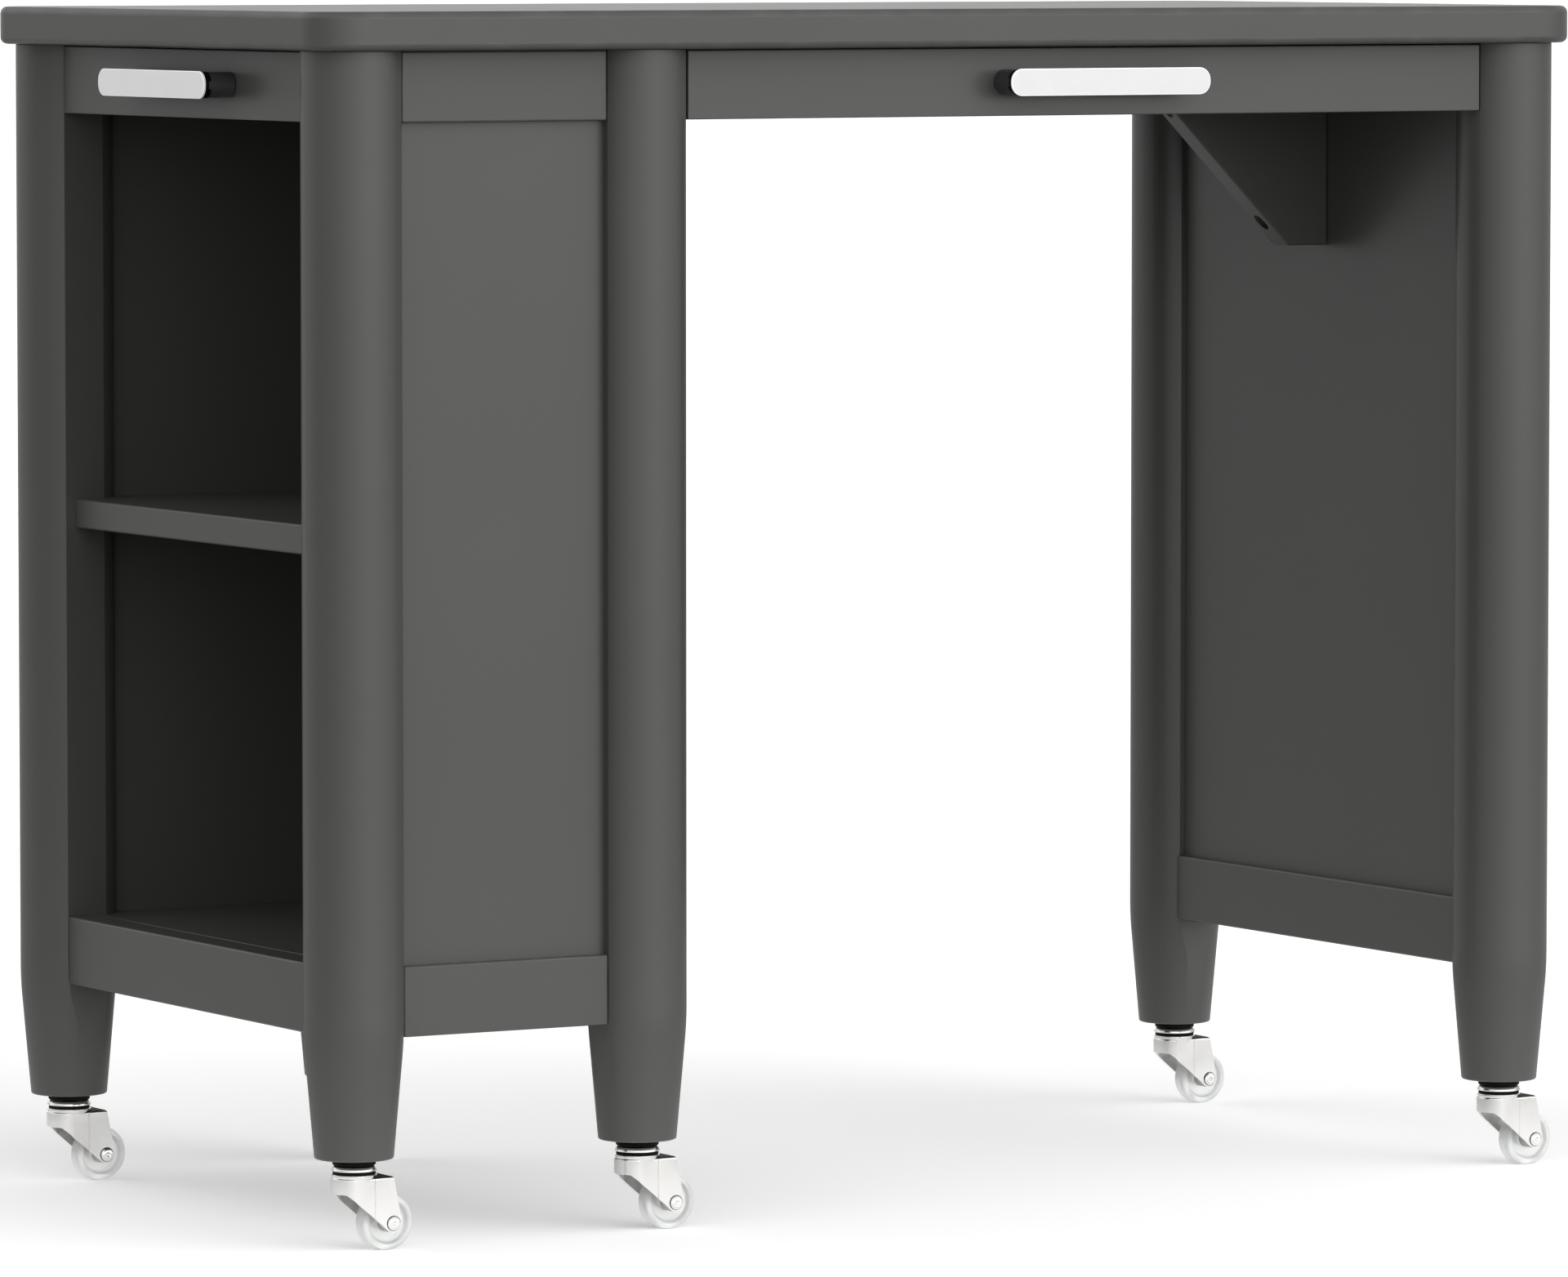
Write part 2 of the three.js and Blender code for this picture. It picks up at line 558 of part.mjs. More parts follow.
/** Plan of the folded sheet: square at the rear, round at the front of the hood. */
function forkPlan(shrink, rear) {
  const x0 = -FORK_FRONT + shrink;
  const half = FORK_HALF - shrink;
  const r = FORK_CORNER - shrink;
  const shape = new THREE.Shape();
  shape.moveTo(rear, -half);
  shape.lineTo(rear, half);
  shape.absarc(x0 + r, half - r, r, Math.PI / 2, Math.PI);
  shape.absarc(x0 + r, -half + r, r, Math.PI, 1.5 * Math.PI);
  return new THREE.Shape(dropRepeats(shape.getPoints(4)));
}

/** Upright prism over a plan outline. */
function prism(outline, [z0, z1]) {
  const body = new THREE.ExtrudeGeometry(outline, { depth: z1 - z0, bevelEnabled: false });
  return solid(body.translate(0, 0, z0));
}

/** Folded sheet: the side view cut out of the plan, hollowed by one sheet thickness. */
function forkSheet() {
  const rear = TRAIL + FORK_BOSS + PAST;
  const outer = prism(forkPlan(0, rear), [0, CROWN]);
  const view = solid(new THREE.ExtrudeGeometry(forkOutline(), { depth: 4 * FORK_HALF, bevelEnabled: false })
    .rotateX(Math.PI / 2).translate(0, 2 * FORK_HALF, 0));
  const hollow = prism(forkPlan(FORK_T, rear + PAST), [-PAST, CROWN - FORK_T]);
  return outer.intersect(view).subtract(hollow);
}

/** Raised race on the crown and the bright bearing ring above it, open in the middle for the stem. */
function crown() {
  const race1 = CROWN + RACE_H;
  const ring0 = race1 + RING_LIFT;
  const ring1 = ring0 + RING_H;
  const neck = RING_R - RING_GROOVE;
  const body = turned([
    [0, CROWN - FORK_T], [RING_R, CROWN - FORK_T], [RING_R, race1], [neck, race1],
    [neck, ring0], [RING_R, ring0 + RING_EASE / 2], [RING_R, ring1 - RING_EASE],
    [RING_R - RING_EASE, ring1], [0, ring1],
  ], FACETS.ring);
  return less(body, bar(STEM_R + SWIVEL_GAP, [0, CASTER_H], FACETS.stem));
}

/** Axle with a domed rivet head outside each cheek. */
function axle() {
  const out = FORK_HALF + RIVET_T;
  const sunk = FORK_HALF - FORK_T / 2;
  const side = [[RIVET_R * DOME, -out], [RIVET_R, -FORK_HALF - RIVET_RIM], [RIVET_R, -sunk],
    [AXLE_R, -sunk]];
  const mirror = side.map(([r, h]) => [r, -h]).reverse();
  return alongY(turned([[0, -out], ...side, ...mirror, [0, out]], FACETS.rivet))
    .translate([TRAIL, 0, WHEEL_R]);
}

/** Fork as one body: folded sheet, crown ring and riveted axle. */
function fork() {
  const opened = forkSheet().subtract(bar(STEM_R + SWIVEL_GAP, [0, CASTER_H], FACETS.stem));
  return plus(opened, crown(), axle());
}

/** Wheel with a raised hub and a rim, bored for the axle; a facet of the tread lies level. */
function wheel() {
  const hub = FORK_HALF - FORK_T - SWIVEL_GAP;
  const rim = WHEEL_W / 2;
  const tread = WHEEL_R / Math.cos(Math.PI / FACETS.wheel);
  const web = rim - RIM_STEP;
  const inner = tread - RIM_DEPTH;
  const half = [[HUB_R, hub], [HUB_R, web], [inner - RIM_STEP / 2, web], [inner, rim],
    [tread - TREAD_ROUND, rim], [tread, rim - TREAD_ROUND]];
  const profile = [[0, -hub], ...half.map(([r, h]) => [r, -h]), ...half.reverse(), [0, hub]];
  const bore = bar(AXLE_R + AXLE_CLEAR, [-hub - PAST, hub + PAST], FACETS.rivet);
  const body = less(turned(profile, FACETS.wheel), bore).rotate([0, 0, 180 / FACETS.wheel]);
  return alongY(body).translate([TRAIL, 0, WHEEL_R]);
}

// ---------------------------------------------------------------- assembly
const table = group([0, 0, 0],
  tabletop(),
  ...postGroups(),
  ...Object.keys(FRAMES).map(frameGroup),
  bayGroup(),
  backApron(),
  braceGroup(),
  drawerGroup('front'),
  drawerGroup('end'));
table.name = 'sewing_table';

export default table;
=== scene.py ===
"""Rolling sewing table: the looks of every piece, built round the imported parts.

The sizes in the classes are millimetres and turn into metres as they enter a mesh. Every finished
object sits at the origin with its place in its mesh, so a pattern on Object coordinates stays put.
"""
import logging
import math
from collections.abc import Iterable, Sequence
from dataclasses import dataclass
from enum import Enum
from functools import cache

import bmesh
import bpy
from mathutils import Matrix, Vector


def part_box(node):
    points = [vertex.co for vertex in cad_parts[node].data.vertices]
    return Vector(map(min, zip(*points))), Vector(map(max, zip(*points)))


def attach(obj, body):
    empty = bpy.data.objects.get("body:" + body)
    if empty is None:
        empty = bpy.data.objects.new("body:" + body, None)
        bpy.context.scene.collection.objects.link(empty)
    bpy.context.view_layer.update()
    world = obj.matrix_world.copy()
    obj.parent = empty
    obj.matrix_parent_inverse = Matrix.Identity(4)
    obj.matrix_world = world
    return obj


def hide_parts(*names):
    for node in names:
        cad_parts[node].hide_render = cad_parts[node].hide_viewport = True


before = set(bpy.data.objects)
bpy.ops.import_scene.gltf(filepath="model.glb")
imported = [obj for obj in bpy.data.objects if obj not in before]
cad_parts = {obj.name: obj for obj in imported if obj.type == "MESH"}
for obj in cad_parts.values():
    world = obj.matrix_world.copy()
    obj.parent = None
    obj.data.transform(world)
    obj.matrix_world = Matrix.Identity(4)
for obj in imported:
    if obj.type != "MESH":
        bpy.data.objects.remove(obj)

log = logging.getLogger("sewing_table")

MM = 0.001
NEAR = 1e-6  # lengths in metres that differ by less are taken as the same
# Eased faces: the lacquer shows wear there, and a metal with a rim colour shows a painted highlight.
WEAR_AND_HIGHLIGHT = "wear_and_highlight_edge"  # face attribute: 1 where an edge has been eased
MIDDLE = (0.3, 0.7)  # the part of its range that a noise mostly fills
X, Y, Z = Vector((1, 0, 0)), Vector((0, 1, 0)), Vector((0, 0, 1))
POSTS = ("front_left", "back_left", "front_middle", "back_middle", "front_right", "back_right")

Colour = tuple[float, float, float, float]
Point = tuple[float, float]
Corner = tuple[float, float, float]  # radius, height and rounding of a corner of a turned profile
Tree = bpy.types.NodeTree
Socket = bpy.types.NodeSocket
Material = bpy.types.Material
Mesh = bmesh.types.BMesh
Edge = bmesh.types.BMEdge


class Side(Enum):
    """The four plan directions of a post."""

    EAST = (1, 0)
    WEST = (-1, 0)
    NORTH = (0, 1)
    SOUTH = (0, -1)

    def way(self) -> Vector:
        """The direction as a vector."""
        return Vector((*self.value, 0))


class Grain(Enum):
    """The way the grain of a board runs, as the axis it follows."""

    ALONG_X = 0
    ALONG_Y = 1


# ------------------------------------------------------------------------------- node helpers
def linear(hex_colour: str) -> Colour:
    """Turns an sRGB hex colour into linear light.

    Args:
        hex_colour: a colour such as "#5b5b59".

    Returns:
        Red, green, blue and an alpha of 1.
    """
    parts = [int(hex_colour[i : i + 2], 16) / 255 for i in (1, 3, 5)]
    return (*(c / 12.92 if c <= 0.04045 else ((c + 0.055) / 1.055) ** 2.4 for c in parts), 1.0)


def grey(value: float) -> Colour:
    """A neutral colour in linear light."""
    return (value, value, value, 1.0)


def per(size_mm: float) -> float:
    """Pattern scale, in repeats to the metre, for features of a size in millimetres."""
    return 1 / (size_mm * MM)


def add(tree: Tree, kind: str, sockets: dict | None = None, **settings) -> bpy.types.Node:
    """Adds a node with its settings, values and links.

    Args:
        tree: the node tree.
        kind: the node's type name after "ShaderNode".
        sockets: for each input, by name or index, a value or the output socket that feeds it.
        settings: attributes of the node.

    Returns:
        The new node.
    """
    node = tree.nodes.new(f"ShaderNode{kind}")
    for name, value in settings.items():
        setattr(node, name, value)
    for key, value in (sockets or {}).items():
        if isinstance(value, Socket):
            tree.links.new(value, node.inputs[key])
        else:
            node.inputs[key].default_value = value
    return node


def ramped(tree: Tree, value: Socket, span: Point, to: Point) -> Socket:
    """Output of a clamped Map Range node that takes a span of values to another."""
    sockets = {"Value": value, 1: span[0], 2: span[1], 3: to[0], 4: to[1]}
    return add(tree, "MapRange", sockets).outputs[0]


def blended(tree: Tree, by: Socket | float, one: object, two: object, how: str = "MIX") -> Socket:
    """Output of a Mix node between two colours."""
    return add(tree, "Mix", {0: by, 6: one, 7: two}, data_type="RGBA", blend_type=how).outputs[2]


def worked(tree: Tree, operation: str, *values: Socket | float) -> Socket:
    """Output of a Math node."""
    return add(tree, "Math", dict(enumerate(values)), operation=operation).outputs[0]


def noise(tree: Tree, place: Socket, size_mm: float, detail: float, wander: float = 0.0) -> Socket:
    """Output of a noise with features of about a size in millimetres."""
    sockets = {"Vector": place, "Scale": per(size_mm), "Detail": detail, "Distortion": wander}
    return add(tree, "TexNoise", sockets).outputs[0]


def bumped(tree: Tree, height: Socket, strength: float, depth_mm: float) -> Socket:
    """Normal of a surface that a height presses in and out."""
    sockets = {"Height": height, "Strength": strength, "Distance": depth_mm * MM}
    return add(tree, "Bump", sockets).outputs[0]


def at_object(tree: Tree) -> Socket:
    """Object coordinates, which on these pieces are the table's own frame in metres."""
    return add(tree, "TexCoord").outputs["Object"]


def at_wear_and_highlight_edges(tree: Tree) -> Socket:
    """1 where an edge has been eased and 0 elsewhere."""
    return add(tree, "Attribute", attribute_name=WEAR_AND_HIGHLIGHT).outputs["Fac"]


def fresh_material(name: str) -> tuple[Material, Tree]:
    """Makes a node material without nodes.

    Args:
        name: the material's name.

    Returns:
        The material and its tree.
    """
    material = bpy.data.materials.new(name)
    material.use_nodes = True
    material.node_tree.nodes.clear()
    return material, material.node_tree


def surfaced(material: Material, sockets: dict) -> Material:
    """Gives a material its surface.

    Args:
        material: a material without nodes for its surface.
        sockets: values and links of the Principled shader, by socket name.

    Returns:
        The same material.
    """
    shader = add(material.node_tree, "BsdfPrincipled", sockets).outputs[0]
    add(material.node_tree, "OutputMaterial", {"Surface": shader})
    return material


# ------------------------------------------------------------------------------------ finishes
@dataclass(frozen=True)
class SatinLacquer:
    """Pigmented satin lacquer, sprayed on sanded beech and fibreboard."""

    name: str = "anthracite_satin_lacquer"
    colour: str = "#3f3f3d"
    cloud: str = "#434341"
    cloud_mm: float = 170.0
    bare: str = "#565653"
    rub_mm: float = 30.0
    rub_from: Point = (0.4, 0.7)
    rub_share: Point = (0.1, 0.45)
    haze_mm: float = 70.0
    sheen: Point = (0.335, 0.36)
    index: float = 1.45
    # Real orange peel is finer than this; it is coarse enough here to break up a highlight.
    peel_mm: float = 2.2
    peel_strength: float = 0.06
    peel_depth: float = 0.3

    @cache
    def material(self) -> Material:
        """Even dark grey with a soft broad gloss, barely clouded, and paler where edges are rubbed.

        Returns:
            The material, made once.
        """
        material, tree = fresh_material(self.name)
        place = at_object(tree)
        clouds = noise(tree, place, self.cloud_mm, 3)
        colour = blended(tree, clouds, linear(self.colour), linear(self.cloud))
        rub = ramped(tree, noise(tree, place, self.rub_mm, 4), self.rub_from, self.rub_share)
        worn = worked(tree, "MULTIPLY", rub, at_wear_and_highlight_edges(tree))
        haze = noise(tree, place, self.haze_mm, 3)
        peel = noise(tree, place, self.peel_mm, 2)
        return surfaced(material, {
            "Base Color": blended(tree, worn, colour, linear(self.bare)),
            "Roughness": ramped(tree, haze, MIDDLE, self.sheen),
            "IOR": self.index,
            "Normal": bumped(tree, peel, self.peel_strength, self.peel_depth),
        })


@dataclass(frozen=True)
class StainedBirch:
    """Birch drawer stock, stained grey and sealed matt."""

    grain: Grain
    dark: str = "#45443f"
    light: str = "#66645d"
    stretch: float = 14.0
    ring_mm: float = 9.0
    ring_wander: float = 0.6
    ring_edge: Point = (0.35, 0.65)
    pore: str = "#2e2d2a"
    pore_mm: float = 1.4
    pore_edge: Point = (0.6, 0.7)
    pore_share: float = 0.5
    sheen: Point = (0.52, 0.64)
    index: float = 1.48
    relief_strength: float = 0.15
    relief_depth: float = 0.2

    @cache
    def material(self) -> Material:
        """Grey wood with straight, slightly wandering rings and short dark pores along them.

        Returns:
            The material, made once for each direction of the grain.
        """
        material, tree = fresh_material(f"grey_stained_birch_{self.grain.name.lower()}")
        scale = [self.stretch] * 3
        scale[self.grain.value] = 1.0
        along = add(tree, "Mapping", {"Vector": at_object(tree), "Scale": scale}).outputs[0]
        rings = noise(tree, along, self.ring_mm * self.stretch, 4, self.ring_wander)
        pores = noise(tree, along, self.pore_mm * self.stretch, 2)
        bands = ramped(tree, rings, self.ring_edge, (0, 1))
        colour = blended(tree, bands, linear(self.dark), linear(self.light))
        pitted = ramped(tree, pores, self.pore_edge, (0, self.pore_share))
        height = worked(tree, "SUBTRACT", rings, pitted)
        return surfaced(material, {
            "Base Color": blended(tree, pitted, colour, linear(self.pore)),
            "Roughness": ramped(tree, rings, MIDDLE, self.sheen),
            "IOR": self.index,
            "Normal": bumped(tree, height, self.relief_strength, self.relief_depth),
        })


@dataclass(frozen=True)
class Metal:
    """A plated, coated or enamelled metal with fine grain and faint handling marks.

    A textured coat has a pale bloom, given as weight and roughness, and may have a painted highlight
    on its eased rims.
    """

    name: str
    colour: str
    metallic: float
    gloss: Point
    marked: str
    mark_mm: float = 14.0
    mark_edge: Point = (0.45, 0.7)
    mark_share: float = 0.7
    # Blasting and plating grain is far below a tenth of this; it is drawn as coarse as it shows.
    grain_mm: float = 0.9
    grain_strength: float = 0.05
    grain_depth: float = 0.1
    bloom: Point = (0.0, 0.5)
    # Colour of the painted highlight on the eased rims; None for no highlight.
    rim: str | None = None

    @cache
    def material(self) -> Material:
        """Plain metal with a drifting gloss and faint marks, and a painted highlight on its eased
        rims where a rim colour is given.

        Returns:
            The material, made once.
        """
        material, tree = fresh_material(self.name)
        place = at_object(tree)
        marks = noise(tree, place, self.mark_mm, 5)
        spots = ramped(tree, marks, self.mark_edge, (0, self.mark_share))
        colour = blended(tree, spots, linear(self.colour), linear(self.marked))
        # Painted highlight: the eased rims take the rim colour.
        if self.rim:
            colour = blended(tree, at_wear_and_highlight_edges(tree), colour, linear(self.rim))
        grain = noise(tree, place, self.grain_mm, 1)
        return surfaced(material, {
            "Base Color": colour,
            "Metallic": self.metallic,
            "Roughness": ramped(tree, marks, MIDDLE, self.gloss),
            "Normal": bumped(tree, grain, self.grain_strength, self.grain_depth),
            "Sheen Weight": self.bloom[0],
            "Sheen Roughness": self.bloom[1],
        })


@dataclass(frozen=True)
class Moulded:
    """An injection-moulded plastic, solid or clear."""

    name: str
    colour: str
    gloss: Point
    index: float
    clear: float = 0.0
    shine: float = 0.5
    ripple_mm: float = 3.0
    ripple_strength: float = 0.08
    ripple_depth: float = 0.15

    @cache
    def material(self) -> Material:
        """Smooth moulded skin with a slow ripple; light passes through it where it is clear.

        Returns:
            The material, made once.
        """
        material, tree = fresh_material(self.name)
        ripple = noise(tree, at_object(tree), self.ripple_mm, 2)
        return surfaced(material, {
            "Base Color": linear(self.colour),
            "Roughness": ramped(tree, ripple, MIDDLE, self.gloss),
            "IOR": self.index,
            "Specular IOR Level": self.shine,
            "Transmission Weight": self.clear,
            "Normal": bumped(tree, ripple, self.ripple_strength, self.ripple_depth),
        })


@dataclass(frozen=True)
class StudioFloor:
    """Matt opal acrylic floor of a studio table, with a faint glow that is painted light."""

    colour: str = "#fbfbfb"
    uneven_mm: float = 900.0
    # Grey that the other rays see: painted shade that dims the light the floor throws onto the table.
    bounce: str = "#b6b6b6"
    near: Point = (0.2, 0.6)  # metres over which a ray's end turns from white to the bounce
    # Emission seen by the camera and by near rays: painted light that lifts the floor's shadows and
    # the casters' reflections of the floor.
    painted_glow: float = 0.17
    roughness: float = 0.9
    index: float = 1.3

    @cache
    def material(self) -> Material:
        """Flat white with soft shadows that a painted glow lifts; away from the casters it lights the
        table as pale grey would, which is painted shade.

        Returns:
            The material, made once.
        """
        material, tree = fresh_material("matt_opal_acrylic")
        uneven = noise(tree, at_object(tree), self.uneven_mm, 2)
        white = blended(tree, uneven, linear(self.colour), grey(1))
        path = add(tree, "LightPath").outputs
        near = ramped(tree, path["Ray Length"], self.near, (1, 0))
        # The camera and near rays see white with the painted glow; other rays see the grey of painted
        # shade.
        seen = worked(tree, "MAXIMUM", path["Is Camera Ray"], near)
        return surfaced(material, {
            "Base Color": blended(tree, seen, linear(self.bounce), white),
            "Roughness": self.roughness,
            "IOR": self.index,
            "Emission Color": grey(1),
            "Emission Strength": ramped(tree, seen, (0, 1), (0, self.painted_glow)),
        })


LACQUER = SatinLacquer()
# The white rim is a painted highlight on the plate's eased edges.
SILVER_COAT = Metal("silver_coated_aluminium", "#c4c4c4", 0.0, (0.5, 0.58), "#c1c1c1",
                    grain_mm=0.8, bloom=(1.0, 0.8), rim="#ffffff")
BLACK_ENAMEL = Metal("black_enamelled_steel", "#363636", 0.0, (0.26, 0.34), "#363636",
                     grain_strength=0.02)
NICKEL = Metal("bright_nickel_plate", "#e9e8e6", 1.0, (0.14, 0.24), "#d9d8d5")
ZINC = Metal("passivated_zinc_plate", "#8d8d86", 1.0, (0.34, 0.5), "#7d7c72")
# Blacker than black nylon is: its own black plus painted shade, which keeps the collar under the
# post's foot, the bearing's groove and the gap behind each pull plate black.
BLACK_NYLON_AND_SHADE = Moulded("black_nylon_and_painted_shade", "#030303", (0.5, 0.6), 1.53, shine=0.08)
GREY_ACETAL = Moulded("grey_moulded_acetal", "#9a9b9a", (0.3, 0.4), 1.48)
FROSTED_CARBONATE = Moulded("frosted_moulded_polycarbonate", "#f7f8f7", (0.32, 0.42), 1.42,
                            clear=0.7, ripple_mm=6.0)


# -------------------------------------------------------------------------------- mesh helpers
def block(bm: Mesh, low: Vector, high: Vector) -> list[bmesh.types.BMVert]:
    """Adds a square-edged block.

    Args:
        bm: the mesh that it goes into.
        low: its lowest corner in metres.
        high: its highest corner in metres.

    Returns:
        Its eight vertices.
    """
    corners = bmesh.ops.create_cube(bm, size=1.0)["verts"]
    bmesh.ops.scale(bm, vec=high - low, verts=corners)
    bmesh.ops.translate(bm, vec=(low + high) / 2, verts=corners)
    return corners


def bevelled(
    bm: Mesh, edges: Iterable[Edge], radius_mm: float, segments: int, clamp: bool = False,
) -> list[bmesh.types.BMFace]:
    """Rounds edges.

    Args:
        bm: the mesh.
        edges: the edges to round.
        radius_mm: width of the rounding.
        segments: facets across it.
        clamp: whether neighbouring roundings stop where they meet.

    Returns:
        The new faces.
    """
    return bmesh.ops.bevel(
        bm, geom=list(edges), offset=radius_mm * MM, segments=segments, profile=0.5,
        affect="EDGES", material=-1, clamp_overlap=clamp)["faces"]


def ease(bm: Mesh, edges: Iterable[Edge], radius_mm: float, segments: int) -> None:
    """Rounds edges and marks the new faces, where the lacquer shows wear and the silver coat a
    painted highlight.

    Args:
        bm: the mesh.
        edges: the edges to round.
        radius_mm: width of the rounding.
        segments: facets across it.
    """
    mark = bm.faces.layers.float.get(WEAR_AND_HIGHLIGHT) or bm.faces.layers.float.new(WEAR_AND_HIGHLIGHT)
    for face in bevelled(bm, edges, radius_mm, segments, clamp=True):
        face[mark] = 1.0


def creases(bm: Mesh, degrees: float) -> list[Edge]:
    """Edges where two faces meet at more than an angle."""
    limit = math.radians(degrees)
    return [e for e in bm.edges if len(e.link_faces) == 2 and e.calc_face_angle() > limit]


def reach(edge: Edge, way: Vector) -> float:
    """How far an edge goes along a direction, in metres."""
    return abs((edge.verts[0].co - edge.verts[1].co).dot(way))


def running(bm: Mesh, way: Vector) -> list[Edge]:
    """Edges that go along a direction at all."""
    return [e for e in bm.edges if reach(e, way) > NEAR]


def square_to(bm: Mesh, way: Vector) -> list[Edge]:
    """Edges at right angles to a direction."""
    return [e for e in bm.edges if reach(e, way) < NEAR]


def level(bm: Mesh, height_mm: float) -> list[Edge]:
    """Edges that lie at a height, in millimetres."""
    return [e for e in bm.edges if all(abs(v.co.z - height_mm * MM) < NEAR for v in e.verts)]


def close(bm: Mesh) -> None:
    """Fills every open edge loop."""
    bmesh.ops.holes_fill(bm, edges=[e for e in bm.edges if e.is_boundary], sides=0)


def split(bm: Mesh, point: Vector, normal: Vector, drop: bool = False) -> None:
    """Cuts a mesh along a plane.

    Args:
        bm: the mesh.
        point: a point of the plane in metres.
        normal: the plane's normal.
        drop: whether what lies beyond the plane goes.
    """
    whole = bm.verts[:] + bm.edges[:] + bm.faces[:]
    bmesh.ops.bisect_plane(bm, geom=whole, dist=NEAR / 100, plane_co=point, plane_no=normal,
                           clear_outer=drop)


def turned(profile: Sequence[Point], steps: int) -> Mesh:
    """A solid spun about Z.

    Args:
        profile: radius and height of each point in millimetres; ends off the axis get flat caps.
        steps: facets round the axis.

    Returns:
        The mesh, in metres, with its axis on Z.
    """
    bm = bmesh.new()
    points = [bm.verts.new((r * MM, 0, h * MM)) for r, h in profile]
    lines = [bm.edges.new(pair) for pair in zip(points, points[1:])]
    bmesh.ops.spin(bm, geom=points + lines, cent=(0, 0, 0), axis=(0, 0, 1),
                   angle=math.tau, steps=steps, use_merge=True)
    bmesh.ops.remove_doubles(bm, verts=bm.verts[:], dist=NEAR / 10)
    close(bm)
    bmesh.ops.recalc_face_normals(bm, faces=bm.faces[:])
    return bm


def tube(inner: float, outer: float, low: float, high: float, steps: int) -> Mesh:
    """A square-edged ring about Z, from its radii and heights in millimetres."""
    return turned([(inner, low), (outer, low), (outer, high), (inner, high), (inner, low)], steps)


def rounded_profile(corners: Sequence[Corner], steps: int = 5) -> list[Point]:
    """Profile with its corners rounded.

    Args:
        corners: radius, height and rounding radius of each corner, in millimetres.
        steps: facets across each rounding.

    Returns:
        Radius and height of each point.
    """
    points: list[Point] = []
    for i, (r, h, ease_mm) in enumerate(corners):
        here = Vector((r, h))
        if ease_mm <= 0 or i in (0, len(corners) - 1):
            points.append((r, h))
            continue
        before = (Vector(corners[i - 1][:2]) - here).normalized()
        after = (Vector(corners[i + 1][:2]) - here).normalized()
        for k in range(steps + 1):
            t = k / steps
            curve = here + before * ease_mm * (1 - t) ** 2 + after * ease_mm * t**2
            points.append((curve.x, curve.y))
    return points


def both_sides(half: Sequence[Corner]) -> list[Corner]:
    """Closed profile of a part that is alike above and below height 0, from its upper half."""
    return [*half, *[(r, -h, ease_mm) for r, h, ease_mm in reversed(half) if h], half[0]]


def moved(bm: Mesh, matrix: Matrix) -> Mesh:
    """Puts a whole mesh through a matrix."""
    bmesh.ops.transform(bm, matrix=matrix, verts=bm.verts[:])
    return bm


def joined(*parts: Mesh) -> Mesh:
    """Gathers meshes in one.

    Args:
        parts: the meshes, which are freed.

    Returns:
        The whole.
    """
    whole = bmesh.new()
    whole.faces.layers.float.new(WEAR_AND_HIGHLIGHT)
    for part in parts:
        mesh = bpy.data.meshes.new("part")
        part.to_mesh(mesh)
        whole.from_mesh(mesh)
        part.free()
        bpy.data.meshes.remove(mesh)
    return whole


def on_axis(bm: Mesh, at: Vector, towards: Vector) -> Mesh:
    """Turns a mesh made about Z to another axis and puts it in place."""
    turn = Z.rotation_difference(towards).to_matrix().to_4x4()
    return moved(bm, Matrix.Translation(at) @ turn)


def post_axis(post: str) -> Vector:
    """Where the axis of a post and its caster meets the floor, in metres."""
    low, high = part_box(f"caster_stem_{post}")
    return Vector(((low.x + high.x) / 2, (low.y + high.y) / 2, 0))


def even_shading(piece: bpy.types.Object) -> None:
    """Shades broad faces flat and lets their rounded edges carry the turn.

    Args:
        piece: the object that gets the modifier.
    """
    weights = piece.modifiers.new("even_shading", "WEIGHTED_NORMAL")
    weights.keep_sharp = True
    weights.weight = 100  # the most: all the weight lies on the larger faces


def dress(
    bm: Mesh, name: str, body: str, finish: Material,
    stands_for: Sequence[str] = (), crease: float = 32.0,
) -> None:
    """Makes a mesh a finished piece that rides with its body.

    Args:
        bm: the mesh in the table's own frame; it is freed.
        name: the piece's name.
        body: the body that it moves with.
        finish: its material.
        stands_for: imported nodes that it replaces.
        crease: angle in degrees above which an edge stays sharp.
    """
    bmesh.ops.recalc_face_normals(bm, faces=bm.faces[:])
    for face in bm.faces:
        face.smooth = True
    for edge in creases(bm, crease):
        edge.smooth = False
    mesh = bpy.data.meshes.new(name)
    bm.to_mesh(mesh)
    bm.free()
    mesh.materials.append(finish)
    piece = bpy.data.objects.new(name, mesh)
    bpy.context.scene.collection.objects.link(piece)
    even_shading(piece)
    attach(piece, body)
    if stands_for:
        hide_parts(*stands_for)
    log.info("%s: %d faces on %s", name, len(mesh.polygons), body)


def keep(node: str, finish: Material, ease_mm: float, arris_degrees: float = 35.0) -> None:
    """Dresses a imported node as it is, with its arrises eased by modifiers.

    Args:
        node: the node's name.
        finish: its material.
        ease_mm: width of the eased arris.
        arris_degrees: angle between two faces from which their edge is eased.
    """
    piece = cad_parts[node]
    piece.data.materials.clear()
    piece.data.materials.append(finish)
    weld = piece.modifiers.new("weld", "WELD")
    weld.merge_threshold = 10 * NEAR
    flat = piece.modifiers.new("flat_faces", "DECIMATE")
    flat.decimate_type = "DISSOLVE"
    flat.angle_limit = math.radians(1)
    bevel = piece.modifiers.new("arris", "BEVEL")
    bevel.width = ease_mm * MM
    bevel.segments = 2
    bevel.limit_method = "ANGLE"
    bevel.angle_limit = math.radians(arris_degrees)
    even_shading(piece)
    log.info("%s: kept and dressed", node)


# --------------------------------------------------------------------------------- the cabinet
@dataclass
class Board:
    """A flat piece with rounded edges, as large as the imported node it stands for."""

    node: str
    ease_mm: float
    segments: int = 3
    body: str = "table"

    def build(self) -> None:
        """Makes and dresses the board."""
        bm = bmesh.new()
        block(bm, *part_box(self.node))
        ease(bm, bm.edges[:], self.ease_mm, self.segments)
        dress(bm, f"{self.node}_board", self.body, LACQUER.material(),
              [self.node])


